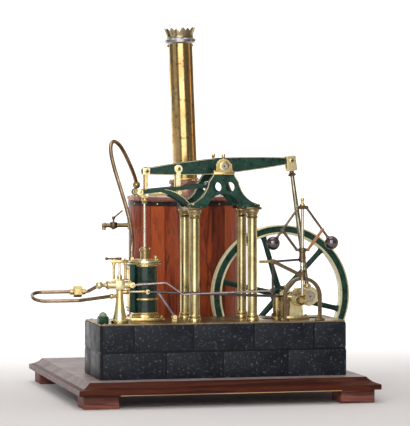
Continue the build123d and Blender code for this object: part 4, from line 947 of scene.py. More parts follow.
    def around(self, one: Shape, count: int, at: Point | Matrix, first: float = 0.0) -> Shape:
        """Adds a round row of a small shape in the current finish and returns the shape.

        Args:
            one: One copy, drawn about the origin.
            count: How many stand in the row.
            at: The row's centre or frame.
            first: The first copy's angle in degrees.
        """
        place = at if isinstance(at, Matrix) else Matrix.Translation(at)
        return self.join(RoundRow.run(one, count, place, self.finishes[self.current], first))

    def nut(self, at: Sequence[float], radius: float, height: float, axis: Any = Axis.Z,
            twist: float = 0.0) -> Shape:
        """Adds a hexagon nut with a chamfered top and its screw's end.

        Args:
            at: The middle of its foot.
            radius: Its radius.
            height: Its height.
            axis: An Axis or a direction.
            twist: Its turn in degrees.

        Returns:
            The shape itself.
        """
        edge, base, way = radius * 0.12, Vector(at), heading(axis)
        self.turned(((0, 0), (radius, 0), (radius, height - edge), (radius - edge, height), (0, height)), at,
                    axis, 6, twist=twist)
        return self.bar(base + way * height * 0.9, base + way * height * 1.45, radius * 0.48, radius * 0.42,
                        12)

    def screw(self, at: Point, radius: float, height: float, axis: Any = Axis.Z,
              angle: float = 30.0) -> Shape:
        """Adds a cheese-headed screw with its slot, painted as a thin near-black box of shade on the head.

        Args:
            at: The middle of its foot.
            radius: Its radius.
            height: Its height.
            axis: An Axis or a direction.
            angle: The slot's turn in degrees.

        Returns:
            The shape itself.
        """
        self.turned(((0, 0), (radius, 0), (radius, height * 0.7), (radius * 0.85, height), (0, height)), at,
                    axis, 18)
        # The slot isn't cut: a thin near-black box on the head paints its shade.
        top = Matrix.Translation(Vector(at) + heading(axis) * height)
        slot = Matrix.Diagonal((radius * 1.5, radius * 0.22, height * 0.06, 1.0))
        turn = Matrix.Rotation(math.radians(angle), 4, "Z")
        held = self.finishes[self.current]
        bmesh.ops.create_cube(self.mesh, size=1.0, matrix=top @ upright(axis) @ turn @ slot)
        self.mesh.faces.ensure_lookup_table()
        return self.use(JOINT_BLACK_AND_SLOT_SHADE).take(self.mesh.faces[-6:]).use(held)

    def plain(self, name: str) -> bpy.types.Mesh:
        """Returns the shape as a mesh, still in millimetres, and frees it.

        Args:
            name: The mesh's name.

        Returns:
            The mesh.
        """
        bmesh.ops.recalc_face_normals(self.mesh, faces=self.mesh.faces)
        made = bpy.data.meshes.new(name)
        self.mesh.to_mesh(made)
        self.mesh.free()
        return made

    def build(self, name: str, body: Body = Body.FRAME, node: str | None = None,
              angle: float = 35.0) -> Piece:
        """Makes the object, in metres in the model's frame, riding on its body.

        Args:
            name: The piece's name.
            body: The body that carries it.
            node: The CAD node that it stands for, where the name isn't the node's.
            angle: Edges sharper than this stay hard, in degrees.

        Returns:
            The finished object.
        """
        made = self.plain(name)
        made.transform(Matrix.Diagonal((MILLIMETRE,) * 3).to_4x4() @ Matrix.Translation(-ORIGIN))
        for finish in self.finishes:
            made.materials.append(finish.material())
        made.set_sharp_from_angle(angle=math.radians(angle))
        piece = link(name, made)
        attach(piece, body.value)
        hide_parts(node or name)
        log.info("%s: %d faces on %s", piece.name, len(made.polygons), body.value)
        return piece


class RoundRow:
    """The Geometry Nodes tree that repeats a small shape round a circle."""

    @staticmethod
    @cache
    def tree() -> NodeTree:
        """Returns the tree that stands the given piece round the Z axis, each copy turned to face out.

        Returns:
            The tree.
        """
        tree = bpy.data.node_groups.new("round_row", "GeometryNodeTree")
        for title, kind in (("Geometry", "Geometry"), ("Count", "Int"), ("First Angle", "Float"),
                            ("Material", "Material")):
            tree.interface.new_socket(title, in_out="INPUT", socket_type=f"NodeSocket{kind}")
        tree.interface.new_socket("Geometry", in_out="OUTPUT", socket_type="NodeSocketGeometry")
        graph = Graph(tree)
        given = graph.add("NodeGroupInput").outputs
        line = graph.add("GeometryNodeMeshLine", {"mode": "OFFSET"}, Count=given["Count"],
                         Offset=(0.0, 0.0, 0.0))
        index = graph.add("GeometryNodeInputIndex").outputs[0]
        step = graph.math("DIVIDE", math.tau, given["Count"])
        turn = graph.add("ShaderNodeCombineXYZ", None, Z=graph.math("MULTIPLY_ADD", index, step,
                                                                    given["First Angle"]))
        copies = graph.add("GeometryNodeInstanceOnPoints", None, Points=line.outputs[0],
                           Instance=given["Geometry"], Rotation=turn.outputs[0])
        real = graph.add("GeometryNodeRealizeInstances", None, Geometry=copies.outputs[0])
        painted = graph.add("GeometryNodeSetMaterial", None, Geometry=real.outputs[0],
                            Material=given["Material"])
        graph.feed(graph.add("NodeGroupOutput").inputs[0], painted.outputs[0])
        return tree

    @classmethod
    def run(cls, one: Shape, count: int, place: Matrix, finish: Finish, first: float) -> bpy.types.Mesh:
        """Runs the tree on a shape.

        Args:
            one: One copy, drawn about the origin.
            count: How many stand in the row.
            place: Where the whole row stands.
            finish: The copies' finish.
            first: The first copy's angle in degrees.

        Returns:
            The plain mesh of the row, still in millimetres.
        """
        mesh = one.plain("one")
        holder = link("one", mesh)
        modifier = holder.modifiers.new("repeat", "NODES")
        modifier.node_group = cls.tree()
        sockets = {item.name: item.identifier for item in cls.tree().interface.items_tree
                   if item.in_out == "INPUT"}
        values = {"Count": count, "First Angle": math.radians(first), "Material": finish.material()}
        for title, value in values.items():
            modifier[sockets[title]] = value
        made = worked_out(holder)
        bpy.data.meshes.remove(mesh)
        made.transform(place)
        return made


@dataclass(frozen=True)
class Layout:
    """The axes and layers that several sub-assemblies share, in millimetres."""

    mid_y: float = 60.0
    bed_z: float = 72.0
    pivot: Flat = (171.0, 275.0)
    tilt: float = 3.85
    beam_half: float = 98.5
    back_pin: float = 55.5
    link_drop: float = 31.0
    shaft: Flat = (271.5, 98.5)
    crank_throw: float = 23.0
    crank_angle: float = 6.0
    cylinder_x: float = 71.5
    column_pitch: Flat = (78.0, 58.0)
    cap_top: float = 221.5
    boiler: Flat = (162.0, 225.0)
    governor_y: float = 6.0
    link_layer: Flat = (52.4, 55.4)
    bar_layer: Flat = (49.2, 51.8)
    radius_layer: Flat = (46.1, 48.6)
    bracket_layer: Flat = (42.5, 45.5)
    radius_anchor: Flat = (61.7, 241.2)
    rocker_foot: Flat = (104.0, 78.5)
    valve_stand: Flat = (31.0, 26.3)
    valve_z: float = 121.5
    pit_half: float = 41.0
    pit_y: Flat = (47.0, 73.0)
    eccentric_throw: float = 4.0

    def on_beam(self, distance: float) -> Flat:
        """Returns a place on the beam's centre line in X and Z."""
        lean = math.radians(self.tilt)
        return (self.pivot[0] + distance * math.cos(lean), self.pivot[1] + distance * math.sin(lean))

    def crank_pin(self) -> Flat:
        """Returns the crank pin's place in X and Z."""
        lean = math.radians(self.crank_angle)
        return (self.shaft[0] + self.crank_throw * math.cos(lean),
                self.shaft[1] + self.crank_throw * math.sin(lean))

    def eccentric(self) -> Flat:
        """Returns the eccentric's centre in X and Z, a quarter turn ahead of the crank.

        Returns:
            The place.
        """
        lean = math.radians(self.crank_angle)
        return (self.shaft[0] - self.eccentric_throw * math.sin(lean),
                self.shaft[1] + self.eccentric_throw * math.cos(lean))

    def pit(self) -> tuple[Flat, Flat]:
        """Returns the crank pit's sides in X and in Y."""
        return (self.shaft[0] - self.pit_half, self.shaft[0] + self.pit_half), self.pit_y

    def column_places(self) -> list[Flat]:
        """Returns the four columns' places in X and Y."""
        half_x, half_y = self.column_pitch[0] / 2, self.column_pitch[1] / 2
        return [(self.pivot[0] + sx * half_x, self.mid_y + sy * half_y) for sx, sy in CORNERS]

    def far(self, near: Flat) -> Flat:
        """Returns a layer's mirror image across the centre plane."""
        return (2 * self.mid_y - near[1], 2 * self.mid_y - near[0])

    def both(self, near: Flat) -> tuple[Flat, Flat]:
        """Returns a near layer and its mirror image."""
        return near, self.far(near)

    def outer(self, y0: float, y1: float) -> Flat:
        """Returns the Y of a layer's face away from the centre plane, and the way out."""
        return (y0, -1.0) if y0 < self.mid_y else (y1, 1.0)


LAYOUT = Layout()


@dataclass
class Base:
    """The moulded board, its four feet, and the plinth of painted blocks."""

    board: float = 400.0
    thick: float = 16.0
    band: float = 7.0
    hollow: float = 16.0
    sag: float = 1.6
    corner: Flat = (-35.0, -44.0)
    foot: float = 46.0
    foot_tall: float = 17.5
    foot_inset: float = 7.0
    plinth: Point = (330.0, 111.0, 70.0)
    joint: float = 1.8
    core_inset: float = 0.9
    core_tall: float = 55.0
    block_deep: float = 30.0
    worn: float = 1.2
    end_groove: float = 4.2
    end_tile: float = 2.3
    end_split: float = 70.0
    front_top: tuple[float, ...] = (44.6, 123.3, 204.4, 285.3)
    front_low: tuple[float, ...] = (87.1, 163.0, 250.2)

    def build(self) -> list[Piece]:
        """Builds the board, feet, plinth and bedplate."""
        return [self.make_board(), self.make_feet(), self.make_plinth(), self.make_bedplate()]

    def make_board(self) -> Piece:
        """Builds the board as stacked square rings that follow its hollow moulding, with a pale strip under
        its front edge as a painted highlight.

        Returns:
            The finished piece.
        """
        half = self.board / 2
        low, high = (half, -self.thick + self.band), (half - self.hollow, 0.0)
        middle = ((low[0] + high[0]) / 2 - self.sag / 2, (low[1] + high[1]) / 2 - self.sag)
        levels = [(half - 0.8, -self.thick), (half, -self.thick + 0.8), (half, low[1] - 0.8),
                  (half - 0.5, low[1]), *through(high, middle, low, 10)[-2:0:-1], high]
        x, y = self.corner
        middle_x, middle_y = x + half, y + half
        shape = Shape(BOARD_WOOD).loft([[(middle_x + sx * reach, middle_y + sy * reach, z)
                                         for sx, sy in oblong(-1, -1, 1, 1)] for reach, z in levels])
        # A thin pale strip under the front edge, between the feet, is a painted highlight.
        inset = self.foot_inset + self.foot + 1.0
        shape.use(EDGE_HIGHLIGHT_WOOD).block((x + inset, y + 0.1, -self.thick - 0.4), (x + self.board - inset, y + 1.6,
                                                                             -self.thick + 0.5), 0.2)
        return shape.build("baseboard", angle=30)

    def make_feet(self) -> Piece:
        """Builds the four square feet.

        Returns:
            The finished piece.
        """
        shape = Shape(FOOT_WOOD)
        low, far = -self.thick - self.foot_tall, self.board - self.foot_inset - self.foot
        for x in (self.corner[0] + self.foot_inset, self.corner[0] + far):
            for y in (self.corner[1] + self.foot_inset, self.corner[1] + far):
                shape.block((x, y, low), (x + self.foot, y + self.foot, -self.thick), 1.4)
        return shape.build("feet", node="base_feet")

    def make_plinth(self) -> Piece:
        """Builds the plinth's blocks over a dark core, open at the crank pit.

        Returns:
            The finished piece.
        """
        long, deep, tall = self.plinth
        course, gap = tall / 2, self.joint / 2
        near, right, back = self.core_inset, long - self.core_inset, deep - self.core_inset
        (x0, x1), (y0, y1) = LAYOUT.pit()
        shape = Shape(PLINTH_JOINT).block((near, near, 0.0), (right, back, self.core_tall))
        for low, high in (((near, near), (x0, back)), ((x1, near), (right, back)), ((x0, near), (x1, y0)),
                          ((x0, y1), (x1, back))):
            shape.block((*low, self.core_tall), (*high, tall - 0.1))
        shape.use(PLINTH_STONE)
        courses = ((0.0, course - gap), (course + gap, tall - 0.2))
        for (z0, z1), joints in zip(courses, (self.front_low, self.front_top)):
            stops = (0.0, *joints, long)
            for left, right in zip(stops, stops[1:]):
                x0 = self.end_groove if left == 0.0 else left + gap
                x1 = right if right == long else right - gap
                worn = 2.6 if right == long and z0 > 0.0 else self.worn
                for y0, y1 in ((0.0, self.block_deep), (deep - self.block_deep, deep)):
                    shape.block((x0, y0, z0), (x1, y1, z1), worn, 3, PLINTH_EDGE)
        split, last = (self.end_split - gap, self.end_split + gap), deep - self.worn
        for (z0, z1), stops in zip(courses, ((self.worn, *split, last), (self.worn, last))):
            for low_y, high_y in zip(stops[::2], stops[1::2]):
                shape.block((0.0, low_y, z0), (self.end_tile, high_y, z1), 0.9, 2, PLINTH_EDGE)
            shape.block((long - 20.0, 24.0, z0), (long, deep - 24.0, z1), self.worn, 2, PLINTH_EDGE)
        return shape.build("plinth")

    def make_bedplate(self) -> Piece:
        """Builds the copper-brown bedplate with its screws and the rocker's lug.

        Returns:
            The finished piece.
        """
        long, deep, tall = self.plinth
        outer = [(3.0, 1.0), (long - 3.0, 1.0), (long - 1.0, 3.0), (long - 1.0, deep - 3.0),
                 (long - 3.0, deep - 1.0), (3.0, deep - 1.0), (1.0, deep - 3.0), (1.0, 3.0)]
        (x0, x1), (y0, y1) = LAYOUT.pit()
        pit = oblong(x0, y0, x1, y1)
        flat = Matrix.Translation((0, 0, tall + 1.0)) @ Matrix.Rotation(-QUARTER, 4, "X")
        shape = Shape(EDGE_BRASS).plate([outer, pit], -1.0, 0.7, 0.3, flat)
        inset = [(a + (0.5 if a < long / 2 else -0.5), b + (0.5 if b < deep / 2 else -0.5)) for a, b in outer]
        shape.use(BEDPLATE_COPPER).plate([inset, pit], 0.0, 1.0, 0.2, flat)
        x, z = LAYOUT.rocker_foot
        lug = [(x - 3.5, z - 7.0), (x + 3.5, z - 7.0), *arc((x, z), 3.5, 0, 180, 16)]
        shape.use(BRASS).plate([lug], 24.9, 28.9, 0.3).pin(x, z, 1.6, 21.7, 26.0)
        shape.use(DULL_BRASS)
        places = [(8, 8), (118, 8), (196, 8), (322, 8), (322, 103), (240, 103), (118, 103), (8, 103), (8, 55),
                  (322, 60)]
        for index, (x, y) in enumerate(places):
            shape.screw((x, y, LAYOUT.bed_z - 0.1), 2.0, 1.0, Axis.Z, 35.0 * index)
        return shape.build("bedplate")


@dataclass
class Frame:
    """The columns, cap plates, A-frames, beam bearings and motion brackets."""

    radius: float = 6.4
    foot_r: float = 8.5
    cap_r: float = 9.0
    top_z: float = 218.0
    frame_y: Flat = (27.5, 34.5)

    def build(self) -> list[Piece]:
        """Builds the engine's standing frame."""
        return [self.make_columns(), self.make_frames(), self.make_bearings(), self.make_brackets()]

    def make_columns(self) -> Piece:
        """Builds the four turned columns and their two cap plates.

        Returns:
            The finished piece.
        """
        z, r = LAYOUT.bed_z, self.radius
        profile = [(0, z), (self.foot_r, z), (self.foot_r, z + 3.2), (self.foot_r - 0.6, z + 4.2),
                   (7.4, z + 4.6), (7.4, z + 5.2), (7.7, z + 6.0), (7.6, z + 7.0), (7.0, z + 7.6),
                   (r + 0.1, z + 8.2), (r, z + 9.4), (r, self.top_z - 11.4), (7.0, self.top_z - 10.8),
                   (7.5, self.top_z - 9.8), (7.0, self.top_z - 8.8), (r, self.top_z - 8.2),
                   (r, self.top_z - 7.0), (7.0, self.top_z - 6.2), (7.4, self.top_z - 4.8),
                   (8.2, self.top_z - 3.4), (8.9, self.top_z - 2.4), (self.cap_r, self.top_z - 1.8),
                   (self.cap_r, self.top_z), (0, self.top_z)]
        shape = Shape(COLUMN_BRASS)
        for x, y in LAYOUT.column_places():
            shape.use(COLUMN_BRASS).turned(profile[10:12], (x, y, 0), steps=48)
            shape.use(BRASS).turned(profile[:11], (x, y, 0), steps=48)
            shape.use(DULL_BRASS).turned([(0, profile[11][1]), *profile[11:]], (x, y, 0), steps=48)
        for side in SIDES:
            x = LAYOUT.pivot[0] + side * LAYOUT.column_pitch[0] / 2
            shape.use(BRONZE).block((x - 10.5, 20.5, self.top_z), (x + 10.5, 99.5, LAYOUT.cap_top), 0.9)
            shape.use(DULL_BRASS)
            for y in (24.5, 82.5):
                for s in SIDES:
                    shape.turned(((0, 0), (1.1, 0), (1.1, 0.9), (0, 1.3)), (x + s * 7.6, y, LAYOUT.cap_top),
                                 steps=14)
        return shape.build("columns_and_caps", node="columns")

    def side(self, inset: float) -> list[Flat]:
        """Returns an A-frame's flared side about its middle, moved inwards by the inset.

        Args:
            inset: How far the outline moves inwards.

        Returns:
            The side's points.
        """
        cap = LAYOUT.cap_top
        return [(14.2 - inset * 0.6, 264.0 - inset), *through((20.5 - inset, 254.0), (27.5 - inset, 238.0),
                                                              (43.0 - inset, cap + 4.0 + inset), 12),
                (48.0 - inset, cap + 4.0 - inset)]

    def outline(self, inset: float) -> list[Flat]:
        """Returns an A-frame's outline with its arch, moved inwards by the inset.

        Args:
            inset: How far the outline moves inwards.

        Returns:
            The outline's points.
        """
        x, cap = LAYOUT.pivot[0], LAYOUT.cap_top
        right = [*self.side(inset), (48.0 - inset, cap + inset), (22.0 + inset, cap + inset)]
        arch = through((22.0 + inset, cap + inset), (0.0, 239.0 + inset), (-22.0 - inset, cap + inset), 22)
        points = right + arch[1:-1] + [(-a, b) for a, b in reversed(right)]
        return [(x + a, b) for a, b in points]

    def make_frames(self) -> Piece:
        """Builds both A-frames with their cream edge lines.

        Returns:
            The finished piece.
        """
        shape = Shape(GREEN)
        x = LAYOUT.pivot[0]
        holes = [ring((x + s * 8.8, 247.5), 6.6, 36) for s in SIDES]
        for y0, y1 in LAYOUT.both(self.frame_y):
            shape.use(GREEN).plate([self.outline(0.0), *holes], y0 + 0.4, y1 - 0.4, 0.3)
            line, middle, foot_z = self.side(0.1) + self.side(1.3)[::-1], (y0 + y1) / 2, LAYOUT.cap_top + 3.2
            shape.use(CREAM)
            for face_y in (y0, y1 - 0.5):
                for s in SIDES:
                    shape.plate([[(x + s * a, b) for a, b in line]], face_y, face_y + 0.5)
            for s in SIDES:
                low, high = sorted((x + s * 24.0, x + s * 48.0))
                shape.use(GREEN).block((low, middle - 7.0, LAYOUT.cap_top), (high, middle + 7.0, foot_z), 0.7)
                for out in SIDES:
                    shape.use(BRASS).nut((x + s * 42.0, middle + out * 5.0, foot_z), 2.0, 1.6)
        return shape.build("a-frames", node="a_frames")

    def make_bearings(self) -> Piece:
        """Builds the beam's two plummer blocks with caps, screws and oil cups.

        Returns:
            The finished piece.
        """
        shape = Shape(BRIGHT_BRASS)
        x, z = LAYOUT.pivot
        for y0, y1 in LAYOUT.both((25.0, 37.0)):
            front, out = LAYOUT.outer(y0, y1)
            shape.use(BRASS).block((x - 14.0, y0, 264.0), (x + 14.0, y1, 267.4), 0.6)
            body = [(x - 10.75, 267.0), (x + 10.75, 267.0), (x + 10.75, 277.6), (x + 9.3, 278.4),
                    *arc((x, z), 9.5, 22, 158, 24), (x - 9.3, 278.4), (x - 10.75, 277.6)]
            shape.plate([body, ring((x, z), 4.2, 32)], y0, y1, 0.45)
            shape.turned(((4.2, -0.2), (6.5, -0.2), (6.5, 0.9), (5.9, 1.2), (4.2, 1.2)), (x, front, z),
                         (0, out, 0), 36, closed=True)
            for dx, dz in ((-8.3, -5.4), (8.3, -5.4), (-8.1, 1.6), (8.1, 1.6)):
                shape.screw((x + dx, front, z + dz), 1.1, 0.8, (0, out, 0), 40.0)
            for s in SIDES:
                shape.nut((x + s * 12.2, (y0 + y1) / 2, 267.4), 1.9, 1.7)
            shape.turned(oil_cup(0.0, 2.6, 4.0, 7.4, 8.0), (x, (y0 + y1) / 2, z + 8.0), steps=24)
        return shape.build("beam_bearings")

    def make_brackets(self) -> Piece:
        """Builds the rails and curved braces that carry the radius rods.

        Returns:
            The finished piece.
        """
        shape = Shape(GREEN)
        anchor, root = LAYOUT.radius_anchor, (152.0, 249.5)
        slope = (root[1] - anchor[1]) / (root[0] - anchor[0])
        start = (90.0, anchor[1] + slope * (90.0 - anchor[0]) + 1.25)
        bow = ((start[0] + 129.0) / 2 + 2.5, (start[1] + LAYOUT.cap_top) / 2 + 2.5)
        under = through((126.5, LAYOUT.cap_top), (bow[0] - 2.5, bow[1] - 2.5),
                        (start[0] - 5.0, start[1] - 2.5), 16)
        over = through((131.5, LAYOUT.cap_top), (bow[0] + 2.5, bow[1] + 2.5), (start[0] + 5.0, start[1]), 16)
        for y0, y1 in LAYOUT.both(LAYOUT.bracket_layer):
            face, out = LAYOUT.outer(y0, y1)
            shape.use(GREEN).plate([shank(anchor, root, 4.6, 5.0, 5.0)], y0, y1, 0.4)
            shape.plate([under + over[::-1]], y0 + 0.05, y1 - 0.05, 0.4)
            shape.pin(*root, 4.6, *((31.5, y0) if out < 0 else (y1, 88.5)))
            edge = over + [(a - 0.9, b - 0.5) for a, b in reversed(over)]
            shape.use(CREAM).plate([edge], face - 0.12, face + 0.12)
            shape.use(BRASS).turned(((0, 0), (4.5, 0), (4.5, 1.6), (3.9, 2.4), (0, 2.4)),
                                    (anchor[0], face, anchor[1]), (0, out, 0), 32)
            shape.use(STEEL).screw((anchor[0], face + out * 2.2, anchor[1]), 2.0, 0.3, (0, out, 0), 20.0)
            shape.pin(*anchor, 1.55, *((y1, 48.9) if out < 0 else (71.1, y0)))
        return shape.build("motion_brackets")


@dataclass
class Motion:
    """The beam with its links, parallel bars, radius rods and piston rod."""

    thick: float = 8.0
    pin_r: float = 2.0

    def build(self) -> list[Piece]:
        """Builds the beam and the parallel motion."""
        return [self.make_beam(), self.make_main_links(), self.make_back_links(), self.make_bars(),
                self.make_rods(), self.make_piston()]

    def half_outline(self, inset: float) -> list[Flat]:
        """Returns the beam's outline about its centre, moved inwards by the inset.

        Args:
            inset: How far the outline moves inwards.

        Returns:
            The outline's points.
        """
        end = LAYOUT.beam_half + 3.8 - inset
        top = through((end, 3.8 - inset), (LAYOUT.beam_half / 2, 8.5 - inset), (0.0, 10.75 - inset), 16)
        upper = top + [(-a, b) for a, b in reversed(top)][1:]
        return upper + [(-a, -b) for a, b in upper]

    def make_beam(self) -> Piece:
        """Builds the cast beam with its sunk panels, cream lines, bosses and pins.

        Returns:
            The finished piece.
        """
        x, z = LAYOUT.pivot
        lean = Matrix.Translation((x, 0, z)) @ Matrix.Rotation(-math.radians(LAYOUT.tilt), 4, "Y")
        mid, half = LAYOUT.mid_y, self.thick / 2
        shape = Shape(GREEN)
        shape.plate([self.half_outline(1.9)], mid - half + 1.0, mid + half - 1.0, 0.0, lean)
        shape.plate([self.half_outline(0.0), self.half_outline(1.9)], mid - half, mid + half, 0.35, lean)
        shape.use(CREAM)
        for face in (mid - half - 0.06, mid + half - 0.14):
            shape.plate([self.half_outline(0.35), self.half_outline(1.05)], face, face + 0.2, 0.0, lean)
        shape.use(GREEN)
        pins = ((-LAYOUT.beam_half, 5.5), (-LAYOUT.back_pin, 5.0), (LAYOUT.beam_half, 5.5))
        for place, boss in pins:
            shape.plate([ring((place, 0), boss)], mid - half, mid + half, 0.3, lean)
        shape.plate([ring((0, 0), 11.0, 48)], mid - 9.0, mid + 9.0, 0.5, lean)
        shape.use(STEEL).pin(x, z, 4.0, mid - 35.0, mid + 35.0, 32)
        shape.use(DARK_STEEL).pin(x, z, 1.2, mid - 35.05, mid - 34.0, 16)
        for place, _ in pins:
            px, pz = LAYOUT.on_beam(place)
            shape.use(STEEL).pin(px, pz, self.pin_r, mid - 7.9, mid + 7.9)
            shape.use(BRASS)
            for out in (-1.0, 1.0):
                shape.turned(((0, 0), (3.0, 0), (3.0, 0.5), (2.5, 0.8), (0, 0.8)), (px, mid + out * 7.9, pz),
                             (0, out, 0), 28)
                shape.screw((px, mid + out * 8.6, pz), 1.5, 0.1, (0, out, 0), 65.0)
        return shape.build("beam", Body.BEAM, angle=40)

    def make_main_links(self) -> Piece:
        """Builds the two straps at the beam's cylinder end with their dark-eyed blocks.

        Returns:
            The finished piece.
        """
        x, z = LAYOUT.on_beam(-LAYOUT.beam_half)
        shape = Shape(BRASS)
        for y0, y1 in LAYOUT.both(LAYOUT.link_layer):
            strap = shank((x, z), (x, z - LAYOUT.link_drop), 2.1, 3.8, 4.2)
            shape.use(BRASS).plate([strap], y0 + 0.4, y1 - 0.2, 0.35)
            shape.use(BRIGHT_BRASS)
            shape.plate([oblong(x - 4.7, z - 4.3, x + 4.7, z + 4.3), ring((x, z), 2.05, 24)], y0, y1, 0.4)
            face, way = LAYOUT.outer(y0, y1)
            shape.use(STEEL).pin(x, z - LAYOUT.link_drop, 1.6, *sorted((face - way * 0.4, face + way * 3.5)))
        return shape.build("main_links", Body.MAIN_LINKS)

    def make_back_links(self) -> Piece:
        """Builds the two inner links with their round eyes.

        Returns:
            The finished piece.
        """
        x, z = LAYOUT.on_beam(-LAYOUT.back_pin)
        shape = Shape(BRASS)
        for y0, y1 in LAYOUT.both(LAYOUT.link_layer):
            outline = shank((x, z), (x, z - LAYOUT.link_drop), 5.7, 3.8, 6.0)
            shape.use(BRIGHT_BRASS).plate([outline, ring((x, z), 2.05, 24)], y0, y1, 0.45)
            face, way = LAYOUT.outer(y0, y1)
            shape.use(STEEL).pin(x, z - LAYOUT.link_drop, 1.6, *sorted((face - way * 0.4, face + way * 3.5)))
            shape.use(BRIGHT_BRASS).turned(((2.1, -0.2), (5.0, -0.2), (5.0, 0.15), (2.1, 0.15)), (x, face, z),
                                           (0, way, 0), 32, closed=True)
        return shape.build("back_links", Body.BACK_LINKS)

    def make_bars(self) -> Piece:
        """Builds the two parallel bars between the links' lower pins.

        Returns:
            The finished piece.
        """
        start, end = LAYOUT.on_beam(-LAYOUT.beam_half), LAYOUT.on_beam(-LAYOUT.back_pin)
        low, high = (start[0], start[1] - LAYOUT.link_drop), (end[0], end[1] - LAYOUT.link_drop)
        shape = Shape(DARK_STEEL)
        for y0, y1 in LAYOUT.both(LAYOUT.bar_layer):
            outline = shank(low, high, 3.6, 3.6, 3.6)
            shape.use(DULL_BRASS).plate([outline, ring(low, 1.65, 20), ring(high, 1.65, 20)], y0, y1, 0.4)
        return shape.build("parallel_bars", Body.PARALLEL_BARS)

    def make_rods(self) -> Piece:
        """Builds the two radius rods that steer the links.

        Returns:
            The finished piece.
        """
        end = LAYOUT.on_beam(-LAYOUT.back_pin)
        high, anchor = (end[0], end[1] - LAYOUT.link_drop), LAYOUT.radius_anchor
        shape = Shape(BRASS)
        for y0, y1 in LAYOUT.both(LAYOUT.radius_layer):
            outline = shank(anchor, high, 3.6, 3.6, 3.6)
            shape.use(BRASS).plate([outline, ring(anchor, 1.65, 20)], y0, y1, 0.4)
            face, way = LAYOUT.outer(y0, y1)
            shape.use(BRIGHT_BRASS).screw((high[0], face, high[1]), 1.8, 0.02, (0, way, 0), 10.0)
        return shape.build("radius_rods", Body.RADIUS_RODS)

    def make_piston(self) -> Piece:
        """Builds the piston rod with its crosshead, knob and the hidden piston.

        Returns:
            The finished piece.
        """
        x, z = LAYOUT.cylinder_x, LAYOUT.on_beam(-LAYOUT.beam_half)[1] - LAYOUT.link_drop
        mid = LAYOUT.mid_y
        shape = Shape(STEEL)
        shape.bar((x, mid, 111.0), (x, mid, z), 1.9, steps=24)
        shape.turned(((0, 0), (12.5, 0), (12.5, 1.6), (12.1, 2.0), (12.1, 3.0), (12.5, 3.4), (12.5, 8),
                      (0, 8)), (x, mid, 111.0), steps=40)
        shape.use(BRASS).ball((x, mid, z - 6.0), 4.4)
        shape.turned(((0, 0), (3.0, 0), (3.4, 0.8), (3.0, 1.6), (0, 1.6)), (x, mid, z - 11.4), steps=28)
        shape.pin(x, z, 4.3, mid - 4.3, mid + 4.3, 28)
        return shape.build("piston_rod", Body.PISTON)


